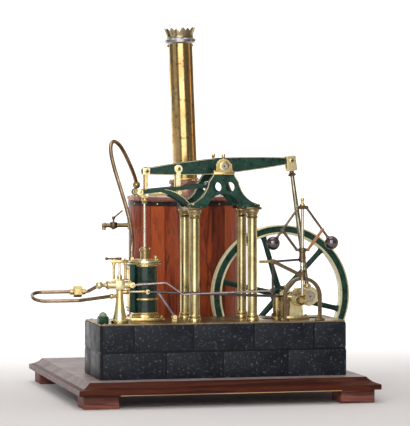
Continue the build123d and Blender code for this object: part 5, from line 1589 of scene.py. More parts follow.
@dataclass
class SteamEnd:
    """The cylinder, its cover and steam chest, the stop valve stand and the lubricator."""

    radius: float = 16.0
    top_z: float = 146.4
    band_r: float = 17.6
    bands: tuple[float, ...] = (0.0, 0.3, 0.62, 1.0)
    handle_z: float = 155.8

    def build(self) -> list[Piece]:
        """Builds the pieces about the cylinder."""
        return [self.make_cylinder(), self.make_cover(), self.make_chest(), self.make_stand(),
                self.make_handle(), self.make_lubricator()]

    def make_cylinder(self) -> Piece:
        """Builds the green cylinder with brass bands on its brass base.

        Returns:
            The finished piece.
        """
        x, mid, z = LAYOUT.cylinder_x, LAYOUT.mid_y, LAYOUT.bed_z
        low = z + 8.5
        shape = Shape(CYLINDER_GREEN)
        shape.turned([(0, low), (self.radius, low), (self.radius, self.top_z), (12.7, self.top_z),
                      (12.7, low + 3.5), (0, low + 3.5)], (x, mid, 0), steps=56)
        shape.use(BRASS)
        tall = self.top_z - low
        for share in self.bands:
            base = low + share * (tall - 3.0)
            band = ((15.8, base), (17.1, base), (self.band_r, base + 0.7), (self.band_r, base + 2.3),
                    (17.1, base + 3.0), (15.8, base + 3.0))
            shape.turned(band, (x, mid, 0), steps=56, closed=True)
        shape.use(BRASS).block((x - 22.5, mid - 22.5, z), (x + 22.5, mid + 22.5, z + 5.0), 1.0)
        shape.turned(((0, z + 4.5), (19.5, z + 4.5), (19.5, z + 7.0), (19.0, z + 8.2), (17.6, z + 8.6),
                      (0, z + 8.6)), (x, mid, 0), steps=56)
        shape.use(BRIGHT_BRASS)
        for sx, sy in CORNERS:
            shape.nut((x + sx * 18.8, mid + sy * 18.8, z + 5.0), 2.2, 1.7, twist=15.0)
        return shape.build("cylinder")

    def make_cover(self) -> Piece:
        """Builds the stepped brass cover with its dark ring, gland, studs and oil cup.

        Returns:
            The finished piece.
        """
        x, mid, z = LAYOUT.cylinder_x, LAYOUT.mid_y, self.top_z
        shape = Shape(BRIGHT_BRASS)
        shape.turned(((1.95, z), (20.6, z), (21.4, z + 0.6), (21.5, z + 3.6), (21.0, z + 4.6),
                      (13.2, z + 4.6), (13.0, z + 6.4), (12.4, z + 6.8), (1.95, z + 6.8)), (x, mid, 0),
                     steps=56, closed=True)
        shape.use(DULL_BRASS)
        shape.turned(((1.95, z + 6.6), (5.6, z + 6.6), (5.6, z + 17.2), (7.3, z + 17.2), (7.6, z + 17.7),
                      (7.6, z + 19.3), (7.2, z + 19.8), (5.6, z + 19.8), (5.5, z + 21.0), (4.2, z + 22.4),
                      (1.95, z + 22.4)), (x, mid, 0), steps=56, closed=True)
        shape.use(BLACK).turned(((20.9, z + 1.7), (21.75, z + 1.8), (21.75, z + 2.9), (20.9, z + 3.0)),
                                (x, mid, 0), steps=56, closed=True)
        shape.use(BRASS).around(Shape(BRASS).nut((17.8, 0, 0), 2.1, 1.7), 6, (x, mid, z + 4.6), 30.0)
        for s in SIDES:
            shape.nut((x + s * 6.4, mid, z + 19.6), 1.3, 1.2)
        shape.turned(oil_cup(-1.5, 2.4, 3.8, 6.0, 6.5), (x + 14.2, mid - 2.4, z + 4.6), steps=24)
        return shape.build("cylinder_cover")

    def make_chest(self) -> Piece:
        """Builds the steam chest with its door and screws.

        Returns:
            The finished piece.
        """
        shape = Shape(GREEN)
        shape.block((49.5, 48.0, 84.0), (56.6, 72.0, self.top_z), 0.9)
        shape.use(BRASS).block((48.5, 50.5, 86.5), (50.5, 69.5, self.top_z - 2.5), 0.5)
        for y in (52.5, 60.0, 67.5):
            for z in (89.5, 115.0, self.top_z - 5.5):
                if y != 60.0 or z != 115.0:
                    shape.screw((48.7, y, z), 1.3, 0.9, (-1, 0, 0), y * 9)
        return shape.build("steam_chest")

    def make_stand(self) -> Piece:
        """Builds the turned stand with the stop valve's body, gland and yoke.

        Returns:
            The finished piece.
        """
        x, y = LAYOUT.valve_stand
        z = LAYOUT.bed_z
        shape = Shape(BRIGHT_BRASS)
        shape.turned(((0, z), (11.3, z), (11.5, z + 0.4), (11.5, z + 3.4), (11.0, z + 4.0), (9.5, z + 4.1),
                      (8.9, z + 8.0), (7.0, z + 16.0), (5.3, z + 28.0), (4.6, z + 41.0), (4.6, z + 42.4),
                      (5.6, z + 42.8), (6.0, z + 43.4), (6.0, z + 44.0), (5.4, z + 44.6), (0, z + 44.6)),
                     (x, y, 0), steps=48)
        shape.block((x - 6, y - 6, LAYOUT.valve_z - 6), (x + 6, y + 6, LAYOUT.valve_z + 6), 0.9)
        left, right = x - 17.0, x + 15.0
        shape.bar((left, y, LAYOUT.valve_z), (right, y, LAYOUT.valve_z), 4.8, steps=36)
        shape.use(BRASS)
        for start in (left, right - 2.5):
            shape.turned(((0, 0), (5.5, 0), (6.0, 0.5), (6.0, 2.0), (5.5, 2.5), (0, 2.5)),
                         (start, y, LAYOUT.valve_z), Axis.X, 36)
        top = LAYOUT.valve_z + 6.0
        shape.block((x - 11.5, y - 3.5, top), (x + 11.5, y + 3.5, top + 1.8), 0.4)
        shape.block((x - 11.5, y - 3.5, 150.0), (x + 11.5, y + 3.5, 154.0), 0.7)
        for s in SIDES:
            pillar = ((0, 0), (2.6, 0), (2.6, 1.2), (1.8, 1.8), (1.8, 19.6), (2.6, 20.4), (2.6, 22.5),
                      (0, 22.5))
            shape.turned(pillar, (x + s * 7.5, y, top), steps=20)
            shape.nut((x + s * 7.5, y, 154.0), 2.0, 1.5)
        shape.turned(((1.55, 0), (4.2, 0), (4.2, 1.4), (3.4, 2.0), (3.4, 5.0), (2.8, 7.0), (1.55, 7.0)),
                     (x, y, top), steps=28, closed=True)
        shape.bar((x, y, 112.3), (x + 12.0, y, 112.3), 3.0, steps=28)
        shape.nut((x + 9.0, y, 112.3), 3.6, 2.6, Axis.X)
        shape.pin(x + 11.4, LAYOUT.valve_z, 1.4, 16.8, y - 3.0, 18)
        shape.around(Shape(BRASS).nut((10.4, 0, 0), 1.6, 1.3), 4, (x, y, z + 4.0), 45.0)
        return shape.build("stop_valve_stand", node="valve_stand")

    def make_handle(self) -> Piece:
        """Builds the stop valve's spindle and its bar handle with a turned knob.

        Returns:
            The finished piece.
        """
        x, y = LAYOUT.valve_stand
        shape = Shape(STEEL).bar((x, y, LAYOUT.valve_z + 6.0), (x, y, 156.8), 1.5, steps=18)
        shape.use(BRONZE)
        shape.turned(((0, 0), (2.6, 0), (3.0, 0.4), (3.0, 2.6), (2.6, 3.0), (0, 3.0)), (x, y, 154.3),
                     steps=24)
        shape.bar((x, y, self.handle_z), (x - 15.6, y, self.handle_z), 1.5, 1.2, 18)
        shape.ball((x - 17.0, y, self.handle_z), 2.2, 20)
        return shape.build("stop_valve_handle", Body.VALVE, node="valve_handle")

    def make_lubricator(self) -> Piece:
        """Builds the green lubricator box with its pale ball cap.

        Returns:
            The finished piece.
        """
        x, y, z = 9.0, 26.0, LAYOUT.bed_z
        shape = Shape(GREEN).block((x - 6.5, y - 6.5, z), (x + 6.5, y + 6.5, z + 9.0), 0.9)
        shape.use(BRASS).turned(((0, 8.8), (4.9, 8.8), (4.9, 9.6), (4.4, 10.0), (0, 10.0)), (x, y, z),
                                steps=28)
        shape.use(PALE_GREEN).ball((x, y, z + 9.4), 5.4, 28)
        for sx, sy in CORNERS:
            shape.screw((x + sx * 4.9, y + sy * 4.9, z + 8.9), 0.8, 0.5, Axis.Z, 20.0)
        return shape.build("lubricator")


@dataclass
class Pipes:
    """The looped exhaust pipe at the left and the steam pipe from the boiler."""

    radius: float = 2.35

    def build(self) -> list[Piece]:
        """Builds both pipes with their unions."""
        return [self.make_loop(), self.make_steam()]

    def make_loop(self) -> Piece:
        """Builds the pipe loop with its union nut, dome and elbow.

        Returns:
            The finished piece.
        """
        y, z = LAYOUT.valve_stand[1], LAYOUT.valve_z
        route = [(14.0, y, z), (4.0, y, z), (-8.0, 42.0, 112.6), (-83.5, 42.0, 112.6), (-83.5, 10.5, 103.0),
                 (-26.0, 10.5, 103.0), (20.5, y, 107.0), (26.4, y, 107.0)]
        shape = Shape(COPPER_PIPE).tube(rounded(route, (5, 5, 14.5, 14.5, 5, 2.5), 10), self.radius)
        shape.use(BRASS)
        nut_x = -27.2
        shape.turned(((0, 0), (6.9, 0), (7.4, 0.6), (7.4, 10.4), (6.9, 11.0), (0, 11.0)),
                     (nut_x, 42.0, 112.6), Axis.X, 6, twist=30.0)
        for x in (nut_x - 5.0, nut_x + 11.0):
            neck = ((0, 0), (3.7, 0), (4.0, 0.4), (4.0, 4.6), (3.7, 5.0), (0, 5.0))
            shape.turned(neck, (x, 42.0, 112.6), Axis.X, 28)
        shape.use(BRIGHT_BRASS).ball((4.0, y, z), 5.0, 28)
        shape.turned(((2.2, 0), (3.8, 0), (3.8, 1.6), (2.2, 1.6)), (11.6, y, z), Axis.X, 28, closed=True)
        shape.use(BRASS).ball((20.5, y, 107.0), 3.6, 24)
        return shape.build("pipe_loop")

    def make_steam(self) -> Piece:
        """Builds the steam pipe with its boss on the boiler and its nut on the chest.

        Returns:
            The finished piece.
        """
        route = [(54, 60, 151), (54, 60, 166), (57, 66, 181), (56.5, 92, 209), (53.5, 118, 236),
                 (49.8, 144, 262.5), (46.2, 168, 291.5), (49.6, 180, 310), (63.5, 189, 304.5),
                 (75.5, 198, 284.5), (87, 207, 263), (92, 214, 250), (92, 214, 244)]
        shape = Shape(COPPER_PIPE).tube(route, 2.8, drawn=True)
        shape.use(BRASS).turned(((0, 0), (4.6, 0), (4.6, 2.0), (3.6, 2.6), (3.6, 7.8), (0, 7.8)),
                                (92, 214, 231.5), steps=32)
        shape.use(DULL_BRASS).ball((92, 214, 247), 5.3, 28).use(BRASS)
        shape.turned(((0, 0), (4.0, 0), (4.0, 4.4), (3.6, 5.0), (0, 5.0)), (54, 60, 151), steps=6)
        return shape.build("steam_pipe")


@dataclass
class Boiler:
    """The lagged boiler with its copper top, the leaning chimney and the water cock."""

    radius: float = 77.5
    top_z: float = 226.5
    staves: int = 22
    stack_foot: Point = (163.4, 225.0, 252.5)
    lean: float = 2.2
    stack_top: float = 449.0
    petals: int = 8
    cock: Flat = (61.9, 191.5)

    def build(self) -> list[Piece]:
        """Builds the boiler, chimney and cock."""
        return [self.make_lagging(), self.make_top(), self.make_chimney(), self.make_crown(),
                self.make_cock(), self.make_cock_handle()]

    def stack_place(self, height: float) -> Matrix:
        """Returns the chimney's frame at a height above its foot."""
        return (Matrix.Translation(self.stack_foot) @ Matrix.Rotation(-math.radians(self.lean), 4, "Y")
                @ Matrix.Translation((0, 0, height)))

    def stack_tall(self) -> float:
        """Returns the chimney's length along its own axis."""
        return (self.stack_top - self.stack_foot[2]) / math.cos(math.radians(self.lean))

    def make_lagging(self) -> Piece:
        """Builds the staves as a round row of boards, with a core, hoops and their screws.

        Returns:
            The finished piece.
        """
        x, y = LAYOUT.boiler
        half = math.pi / self.staves
        gap = 0.28 / self.radius
        outer, inner = self.radius, self.radius - 4.0
        edges = [-half + gap, -half + gap * 3.2]
        edges += [-half + gap * 3.2 + (2 * half - gap * 6.4) * k / 6 for k in range(1, 7)]
        edges += [half - gap]
        ends = (edges[0], edges[-1])
        section = [(outer - (0.55 if a in ends else 0.0), a) for a in edges] + [(inner, a)
                                                                                for a in reversed(ends)]
        board = Shape(STAVE_WOOD).loft([[(r * math.cos(a), r * math.sin(a), z) for r, a in section]
                                        for z in (0.0, self.top_z)])
        shape = Shape(STAVE_WOOD).around(board, self.staves, (x, y, 0))
        shape.use(JOINT_BLACK_AND_SLOT_SHADE).turned(((71.6, 6.0), (74.2, 0.4), (74.2, self.top_z), (71.6, self.top_z)), (x, y, 0),
                               steps=88, closed=True)
        shape.turned(((0, 0.6), (74.0, 0.6), (74.0, 5.6), (0, 5.6)), (x, y, 0), steps=88)
        for z in (6.0, 219.0):
            shape.use(BLACK)
            hoop = ((77.2, z), (78.1, z), (78.3, z + 0.4), (78.3, z + 5.6), (78.1, z + 6.0), (77.2, z + 6.0))
            shape.turned(hoop, (x, y, 0), steps=88, closed=True)
            shape.use(BRASS)
            screw = Shape(BRASS).turned(((0, -0.2), (1.2, -0.2), (1.1, 0.2), (0.6, 0.45), (0, 0.5)),
                                        (78.2, 0, 0), Axis.X, 14)
            shape.around(screw, self.staves // 2, (x, y, z + 3.0))
        return shape.build("boiler_lagging", angle=28)

    def make_top(self) -> Piece:
        """Builds the copper rim and top with the chimney's flange and its studs.

        Returns:
            The finished piece.
        """
        x, y = LAYOUT.boiler
        z = self.top_z
        shape = Shape(COPPER)
        shape.turned(((15.4, z), (79.0, z), (79.5, z + 0.5), (79.5, z + 4.2), (78.8, z + 5.0),
                      (25.0, z + 5.0), (23.4, z + 8.0), (21.0, z + 13.0), (19.0, z + 21.5), (21.3, z + 21.5),
                      (21.7, z + 22.0), (21.7, z + 25.4), (21.2, z + 26.0), (15.4, z + 26.0)), (x, y, 0),
                     steps=88, closed=True)
        shape.use(BRASS).around(Shape(BRASS).nut((19.3, 0, 0), 1.5, 1.3), 8, (x, y, z + 26.0), 22.5)
        rivet = Shape(COPPER).turned(((0, 0), (1.3, 0), (1.1, 0.5), (0.6, 0.8), (0, 0.9)), (73.0, 0, 0),
                                     steps=12)
        shape.use(COPPER).around(rivet, 24, (x, y, z + 5.0))
        return shape.build("boiler_top")

    def make_chimney(self) -> Piece:
        """Builds the brass chimney with its pale ring near the top.

        Returns:
            The finished piece.
        """
        tall, place = self.stack_tall(), self.stack_place(0.0)
        shape = Shape(CHIMNEY_BRASS)
        axis, foot = rise(place), place.translation
        shape.turned(((15.4, 0.6), (16.8, 0.6), (16.8, tall - 7.5), (16.8, tall), (15.4, tall)), foot, axis,
                     64, closed=True)
        shape.turned(((16.6, 1.0), (18.2, 1.0), (18.2, 2.4), (17.4, 3.2), (16.6, 3.2)), foot, axis, 64,
                     closed=True)
        for side in SIDES:
            spot = place @ Vector((side * 16.4, 0, tall - 10.2))
            shape.use(BRONZE).turned(((0, 0), (1.7, 0), (1.6, 1.6), (1.0, 2.1), (0, 2.2)), spot, (side, 0, 0),
                                     16)
        shape.use(SILVER)
        ring_face = ((16.6, tall - 7.5), (19.6, tall - 7.5), (20.2, tall - 6.8), (21.5, tall - 5.4),
                     (21.5, tall - 2.2), (20.3, tall - 1.0), (19.4, tall), (16.6, tall))
        shape.turned(ring_face, foot, axis, 64, closed=True)
        return shape.build("chimney")

    def make_crown(self) -> Piece:
        """Builds the crown's band and its row of dark bronze petals.

        Returns:
            The finished piece.
        """
        place = self.stack_place(self.stack_tall())
        shape = Shape(CROWN_BRASS)
        shape.turned(((15.4, 0.05), (18.2, 0.05), (18.5, 0.8), (18.3, 2.5), (16.8, 2.7), (15.4, 2.5)),
                     place.translation, rise(place), 64, closed=True)
        rows = ((1.8, 18.2, 0.50), (3.6, 18.5, 0.54), (5.8, 19.2, 0.60), (8.0, 20.0, 0.58),
                (10.2, 20.7, 0.48), (12.2, 21.4, 0.32), (13.6, 21.8, 0.14), (14.4, 22.0, 0.03))
        wide, turns = math.pi / self.petals, (-1.0, -0.6, -0.2, 0.2, 0.6, 1.0)
        section = [(0.0, 0.5, turn) for turn in turns] + [(1.3, 0.3, turn) for turn in reversed(turns)]
        loops = []
        for z, radius, share in rows:
            reach = [(radius - inset + bulge * (1 - turn * turn) - 0.5, wide * share * turn)
                     for inset, bulge, turn in section]
            loops.append([(r * math.cos(a), r * math.sin(a), z) for r, a in reach])
        shape.around(Shape(CROWN_BRASS).loft(loops), self.petals, place)
        return shape.build("chimney_crown", angle=50)

    def make_cock(self) -> Piece:
        """Builds the water cock's body, flange and spout.

        Returns:
            The finished piece.
        """
        y, (x, z) = LAYOUT.boiler[1], self.cock
        shape = Shape(DULL_BRASS)
        shape.bar((45.8, y, z), (86.5, y, z), 3.0, steps=28)
        shape.turned(((0, 0), (5.5, 0), (6.0, 0.5), (6.0, 4.5), (0, 4.5)), (81.5, y, z), Axis.X, 32)
        shape.use(BRONZE).turned(((0, 0), (3.6, 0), (5.0, 1.0), (5.4, 2.4), (5.4, 7.0), (4.9, 8.4),
                                  (3.6, 9.0), (0, 9.0)), (x, y, z - 4.5), steps=32)
        shape.use(DULL_BRASS)
        shape.turned(((0, 0), (3.9, 0), (3.9, 2.4), (3.3, 3.0), (0, 3.0)), (48.8, y, z), Axis.X, 32)
        shape.ball((48.4, y, z), 3.3, 24)
        shape.turned(((1.4, 0), (2.6, 0), (2.6, 3.0), (2.2, 6.5), (1.4, 6.5)), (48.4, y, z - 6.5), steps=28,
                     closed=True)
        shape.nut((x, y, z - 6.0), 2.2, 1.5)
        return shape.build("water_cock", node="boiler_cock")

    def make_cock_handle(self) -> Piece:
        """Builds the cock's plug stem, ball and bent lever.

        Returns:
            The finished piece.
        """
        y, (x, z) = LAYOUT.boiler[1], self.cock
        knee, tip = (x, y, z + 10.0), (x + 12.0, y, z + 19.5)
        shape = Shape(BRONZE).bar((x, y, z + 4.5), knee, 1.3, steps=18).ball(knee, 2.6, 20)
        shape.bar(knee, tip, 1.2, steps=16).ball(tip, 1.25, 16)
        return shape.build("cock_handle", Body.COCK)


@dataclass
class CrankEnd:
    """The crankshaft with its bearings, connecting rod, feed pump, flywheel and valve gear."""

    wheel_r: float = 95.5
    rim_deep: float = 12.5
    rim: Flat = (114.0, 128.0)
    spokes: int = 6
    spoke_angle: float = 46.5
    eccentric_y: float = 20.5
    joint: Flat = (67.0, 112.3)
    pump: Flat = (246.0, 40.0)

    def build(self) -> list[Piece]:
        """Builds the pieces about the crankshaft."""
        return [self.make_bearings(), self.make_pump(), self.make_wheel(), self.make_shaft(), self.make_rod(),
                self.make_strap(), self.make_rocker(), self.make_valve_rod()]

    def make_bearings(self) -> Piece:
        """Builds the crankshaft's two pedestals with caps, nuts and oil cups.

        Returns:
            The finished piece.
        """
        x, z = LAYOUT.shaft
        bed = LAYOUT.bed_z
        shape = Shape(BRIGHT_BRASS)
        for y in (41.0, 95.0):
            y0, y1 = y - 4.5, y + 4.5
            shape.use(BRASS).block((x - 18.0, y0, bed), (x + 18.0, y1, bed + 4.0), 0.6)
            body = [(x - 10.0, bed + 3.8), (x + 10.0, bed + 3.8), (x + 7.6, z), (x + 8.0, z + 1.4),
                    *arc((x, z), 8.6, 12, 168, 24), (x - 8.0, z + 1.4), (x - 7.6, z)]
            shape.use(BRIGHT_BRASS).plate([body, ring((x, z), 4.1, 32)], y0, y1, 0.45)
            shape.use(BRASS)
            for face, way in ((y0, -1.0), (y1, 1.0)):
                shape.turned(((4.1, -0.2), (6.2, -0.2), (6.2, 0.7), (5.6, 1.0), (4.1, 1.0)), (x, face, z),
                             (0, way, 0), 32, closed=True)
            for s in SIDES:
                shape.nut((x + s * 14.0, y, bed + 4.0), 2.2, 1.8)
                shape.nut((x + s * 5.6, y, z + 6.6), 1.2, 2.0)
            shape.turned(oil_cup(0.0, 2.7, 4.0, 7.4, 8.0), (x, y, z + 7.1), steps=24)
        return shape.build("crank_bearings")

    def make_pump(self) -> Piece:
        """Builds the feed pump's barrel with its flange, lip and cap.

        Returns:
            The finished piece.
        """
        bed = LAYOUT.bed_z
        profile = ((0, bed), (7.0, bed), (7.0, bed + 2.0), (6.6, bed + 2.5), (4.2, bed + 2.5),
                   (4.0, bed + 4.4), (5.2, bed + 5.0), (5.5, bed + 5.6), (5.5, 88.0), (5.9, 88.3),
                   (5.9, 89.5), (5.5, 89.8), (5.5, 100.4), (6.2, 100.6), (6.3, 102.6), (5.9, 103.0),
                   (2.8, 103.0), (2.8, 104.8), (2.2, 105.5), (0, 105.5))
        shape = Shape(DULL_BRASS).turned(profile, (*self.pump, 0), steps=40).use(BRASS)
        shape.around(Shape(BRASS).nut((5.7, 0, 0), 1.1, 1.0), 4, (*self.pump, bed + 2.5), 45.0)
        return shape.build("feed_pump")

    def make_wheel(self) -> Piece:
        """Builds the spoked flywheel with its cream lines and keyed hub.

        Returns:
            The finished piece.
        """
        x, z = LAYOUT.shaft
        y0, y1 = self.rim
        middle = (y0 + y1) / 2
        out, inner = self.wheel_r, self.wheel_r - self.rim_deep
        place = (x, 0.0, z)
        shape = Shape(GREEN)
        web = ((inner + 2.6, y0 + 1.4), (out - 1.6, y0 + 1.4), (out - 1.6, y1 - 1.4), (inner + 2.6, y1 - 1.4))
        shape.turned(web, place, Axis.Y, 128, closed=True)
        shape.use(WHEEL_BRASS)
        for low, high in ((out - 1.8, out), (inner, inner + 2.8)):
            lip = ((low, y0 + 0.5), (low + 0.5, y0), (high - 0.5, y0), (high, y0 + 0.5), (high, y1 - 0.5),
                   (high - 0.5, y1), (low + 0.5, y1), (low, y1 - 0.5))
            shape.turned(lip, place, Axis.Y, 128, closed=True)
        # The rim's outer face gets the lighter tread copy of the wheel brass as painted light.
        tread = ((out - 0.4, y0 + 0.5), (out + 0.06, y0 + 0.5), (out + 0.06, y1 - 0.5), (out - 0.4, y1 - 0.5))
        shape.use(LIT_TREAD_BRASS).turned(tread, place, Axis.Y, 128, closed=True)
        sections = ((10.0, 4.6, 3.6), (16.0, 4.2, 3.4), (40.0, 3.7, 3.1), (inner - 8.0, 3.5, 3.0),
                    (inner - 2.5, 3.9, 3.3), (inner + 1.2, 5.2, 3.9))
        turns = [math.tau * k / 20 for k in range(20)]
        spoke = Shape(GREEN).loft([[(reach, wide * math.cos(a), -thick * math.sin(a)) for a in turns]
                                   for reach, wide, thick in sections])
        stand = Matrix.Translation((x, middle, z)) @ Matrix.Rotation(QUARTER, 4, "X")
        shape.use(GREEN).around(spoke, self.spokes, stand, self.spoke_angle)
        hub = ((4.0, middle - 9.0), (8.6, middle - 9.0), (9.2, middle - 8.2), (9.6, middle - 5.4),
               (12.4, middle - 4.6), (13.0, middle - 3.8), (13.0, middle + 3.8), (12.4, middle + 4.6),
               (9.6, middle + 5.4), (9.2, middle + 8.2), (8.6, middle + 9.0), (4.0, middle + 9.0))
        shape.turned(hub, place, Axis.Y, 48, closed=True)
        shape.use(STEEL).block((x - 1.2, middle - 9.4, z + 3.6), (x + 1.2, middle + 9.4, z + 5.4), 0.2)
        return shape.build("flywheel", Body.CRANKSHAFT)

    def make_shaft(self) -> Piece:
        """Builds the crankshaft's two halves with webs, the sheave and the bevel gear.

        Returns:
            The finished piece.
        """
        x, z = LAYOUT.shaft
        pin = LAYOUT.crank_pin()
        mid, inner = LAYOUT.mid_y, 5.3
        shape = Shape(STEEL).pin(x, z, 4.0, 11.6, mid - inner, 32).pin(x, z, 4.0, mid + inner, 132.0, 32)
        shape.use(BRASS)
        for y0, y1 in ((mid - inner - 5.0, mid - inner), (mid + inner, mid + inner + 5.0)):
            shape.use(STEEL).plate([shank((x, z), pin, 8.5, 7.0, 14.0)], y0, y1, 0.5)
            face, way = LAYOUT.outer(y0, y1)
            shape.turned(((0, -0.2), (5.6, -0.2), (5.4, 0.15), (0, 0.15)), (pin[0], face, pin[1]),
                         (0, way, 0), 32)
            shape.use(DARK_STEEL).turned(((0, 0), (1.2, 0), (1.2, 0.2), (0, 0.2)), (pin[0], face, pin[1]),
                                         (0, way, 0), 16)
        centre, y = LAYOUT.eccentric(), self.eccentric_y
        sheave = (centre[0], 0.0, centre[1])
        shape.use(STEEL).turned(((0, y - 2.3), (9.0, y - 2.3), (9.0, y + 2.3), (0, y + 2.3)), sheave, Axis.Y,
                                48)
        shape.use(DULL_BRASS).turned(((0, 15.8), (6.4, 15.8), (6.4, 18.2), (0, 18.2)), (x, 0, z), Axis.Y, 32)
        self.gear(shape, Matrix.Translation((x, 13.0, z)) @ Matrix.Rotation(-QUARTER, 4, "X"))
        return shape.build("crankshaft", Body.CRANKSHAFT)

    @staticmethod
    def gear(shape: Shape, place: Matrix) -> None:
        """Adds a brass bevel gear whose back face lies at the place's height of nought.

        Args:
            shape: The piece that gets the gear.
            place: The gear's frame, with its hub rising along Z.
        """
        shape.use(BRASS)
        shape.turned(((0, -2.8), (3.2, -2.8), (5.9, 0.0), (5.9, 0.5), (4.6, 0.8), (4.6, 1.8), (0, 1.8)),
                     place.translation, rise(place), 40)
        tooth = Shape(BRASS).loft([[(radius - 0.6, -wide * 1.3, z), (radius - 0.6, wide * 1.3, z),
                                    (radius + 0.72, wide * 0.6, z), (radius + 0.72, -wide * 0.6, z)]
                                   for radius, z, wide in ((3.3, -2.8, 0.34), (6.0, 0.0, 0.62),
                                                           (6.0, 0.5, 0.62))])
        shape.around(tooth, 20, place)

    def make_rod(self) -> Piece:
        """Builds the connecting rod with its brass disc, dark shank, collar and forked block.

        Returns:
            The finished piece.
        """
        top, low = LAYOUT.on_beam(LAYOUT.beam_half), LAYOUT.crank_pin()
        mid = LAYOUT.mid_y
        run = math.hypot(top[0] - low[0], top[1] - low[1])
        lean = math.atan2(top[0] - low[0], top[1] - low[1])
        place = Matrix.Translation((low[0], mid, low[1])) @ Matrix.Rotation(lean, 4, "Y")
        axis, foot = rise(place), place.translation
        shape = Shape(BRIGHT_BRASS)
        shape.turned(((0, -4.0), (12.4, -4.0), (13.0, -3.4), (13.0, 3.4), (12.4, 4.0), (0, 4.0)), foot,
                     Axis.Y, 64)
        shape.use(STEEL).turned(((0, -5.0), (5.7, -5.0), (6.0, -4.7), (6.0, 4.7), (5.7, 5.0), (0, 5.0)), foot,
                                Axis.Y, 40)
        shape.use(BRASS).turned(((0, 11.5), (5.2, 11.5), (5.6, 13.0), (5.0, 15.0), (3.4, 16.5), (0, 16.5)),
                                foot, axis, 32)
        shape.use(ROD_STEEL)
        shape.turned(((0, 14.0), (2.8, 14.0), (3.4, run / 2), (2.7, run - 20.6), (0, run - 20.6)), foot, axis,
                     32)
        shape.use(BRONZE).turned(((0, run - 21.0), (3.0, run - 21.0), (5.2, run - 20.0), (5.4, run - 18.8),
                                  (4.4, run - 17.4), (3.2, run - 16.2), (2.8, run - 13.0), (0, run - 13.0)),
                                 foot, axis, 32)
        shape.use(BRIGHT_BRASS)
        half, eye, tall, corner = 4.5, 6.4, 20.0, 1.6
        top_z, low_z = run + eye, run + eye - tall
        inset, high, low = eye - corner, top_z - corner, low_z + corner
        corners = ((1, high), (-1, high), (-1, low), (1, low))
        block = [point for k, (s, z) in enumerate(corners) for point in arc((s * inset, z), corner, 90 * k,
                                                                            90 * k + 90, 5)]
        tilt = place @ Matrix.Translation((0, -mid, 0))
        for y0, y1 in ((mid - half - 3.0, mid - half), (mid + half, mid + half + 3.0)):
            shape.plate([block, ring((0, run), 2.05, 24)], y0, y1, 0.4, tilt)
        shape.plate([oblong(-inset, low_z + 0.1, inset, low_z + 3.0)], mid - half - 2.9, mid + half + 2.9,
                    0.0, tilt)
        return shape.build("connecting_rod", Body.CONNECTING_ROD)

    def make_strap(self) -> Piece:
        """Builds the eccentric's strap with its lugs, bolts and long rod.

        Returns:
            The finished piece.
        """
        centre, y, (jx, jz) = LAYOUT.eccentric(), self.eccentric_y, self.joint
        shape = Shape(BRASS)
        shape.turned(((9.12, -2.1), (11.6, -2.1), (12.0, -1.7), (12.0, 1.7), (11.6, 2.1), (9.12, 2.1)),
                     (centre[0], y, centre[1]), Axis.Y, 56, closed=True)
        way = Vector((jx - centre[0], 0, jz - centre[1])).normalized()
        start = Vector((centre[0], y, centre[1])) + way * 11.0
        shape.bar(start, start + way * 6.0, 2.6, 1.6, 24)
        shape.use(DARK_STEEL).bar(start + way * 4.0, (jx, y, jz), 1.7)
        shape.use(BRASS).pin(jx, jz, 3.0, y - 1.2, y + 1.2, 28)
        shape.use(STEEL).screw((jx, y - 1.2, jz), 1.5, 0.02, (0, -1, 0), 15.0)
        return shape.build("eccentric_strap", Body.ECCENTRIC)

    def make_rocker(self) -> Piece:
        """Builds the valve rocker.

        Returns:
            The finished piece.
        """
        foot, top = LAYOUT.rocker_foot, (81.5, 111.3)
        shape = Shape(DARK_STEEL).plate([shank(foot, top, 3.5, 2.8, 3.0), ring(foot, 1.65, 20)], 22.4, 24.6,
                                        0.35)
        shape.use(BRASS).turned(((1.7, -0.1), (2.8, -0.1), (2.8, 0.12), (1.7, 0.12)),
                                (foot[0], 22.4, foot[1]), (0, -1, 0), 24, closed=True)
        shape.screw((top[0], 22.4, top[1]), 1.6, 0.1, (0, -1, 0), 50.0)
        return shape.build("valve_rocker", Body.ROCKER)

    def make_valve_rod(self) -> Piece:
        """Builds the valve rod with its eye at the eccentric's joint.

        Returns:
            The finished piece.
        """
        jx, jz = self.joint
        y = 26.3
        shape = Shape(STEEL).bar((35.0, y, jz), (jx, y, jz), 1.4, steps=20)
        shape.use(BRASS).pin(jx, jz, 3.0, 22.0, y + 1.4, 28)
        shape.bar((jx - 8.0, y, jz), (jx - 2.0, y, jz), 2.0, 2.0, 20)
        return shape.build("valve_rod", Body.VALVE_ROD)


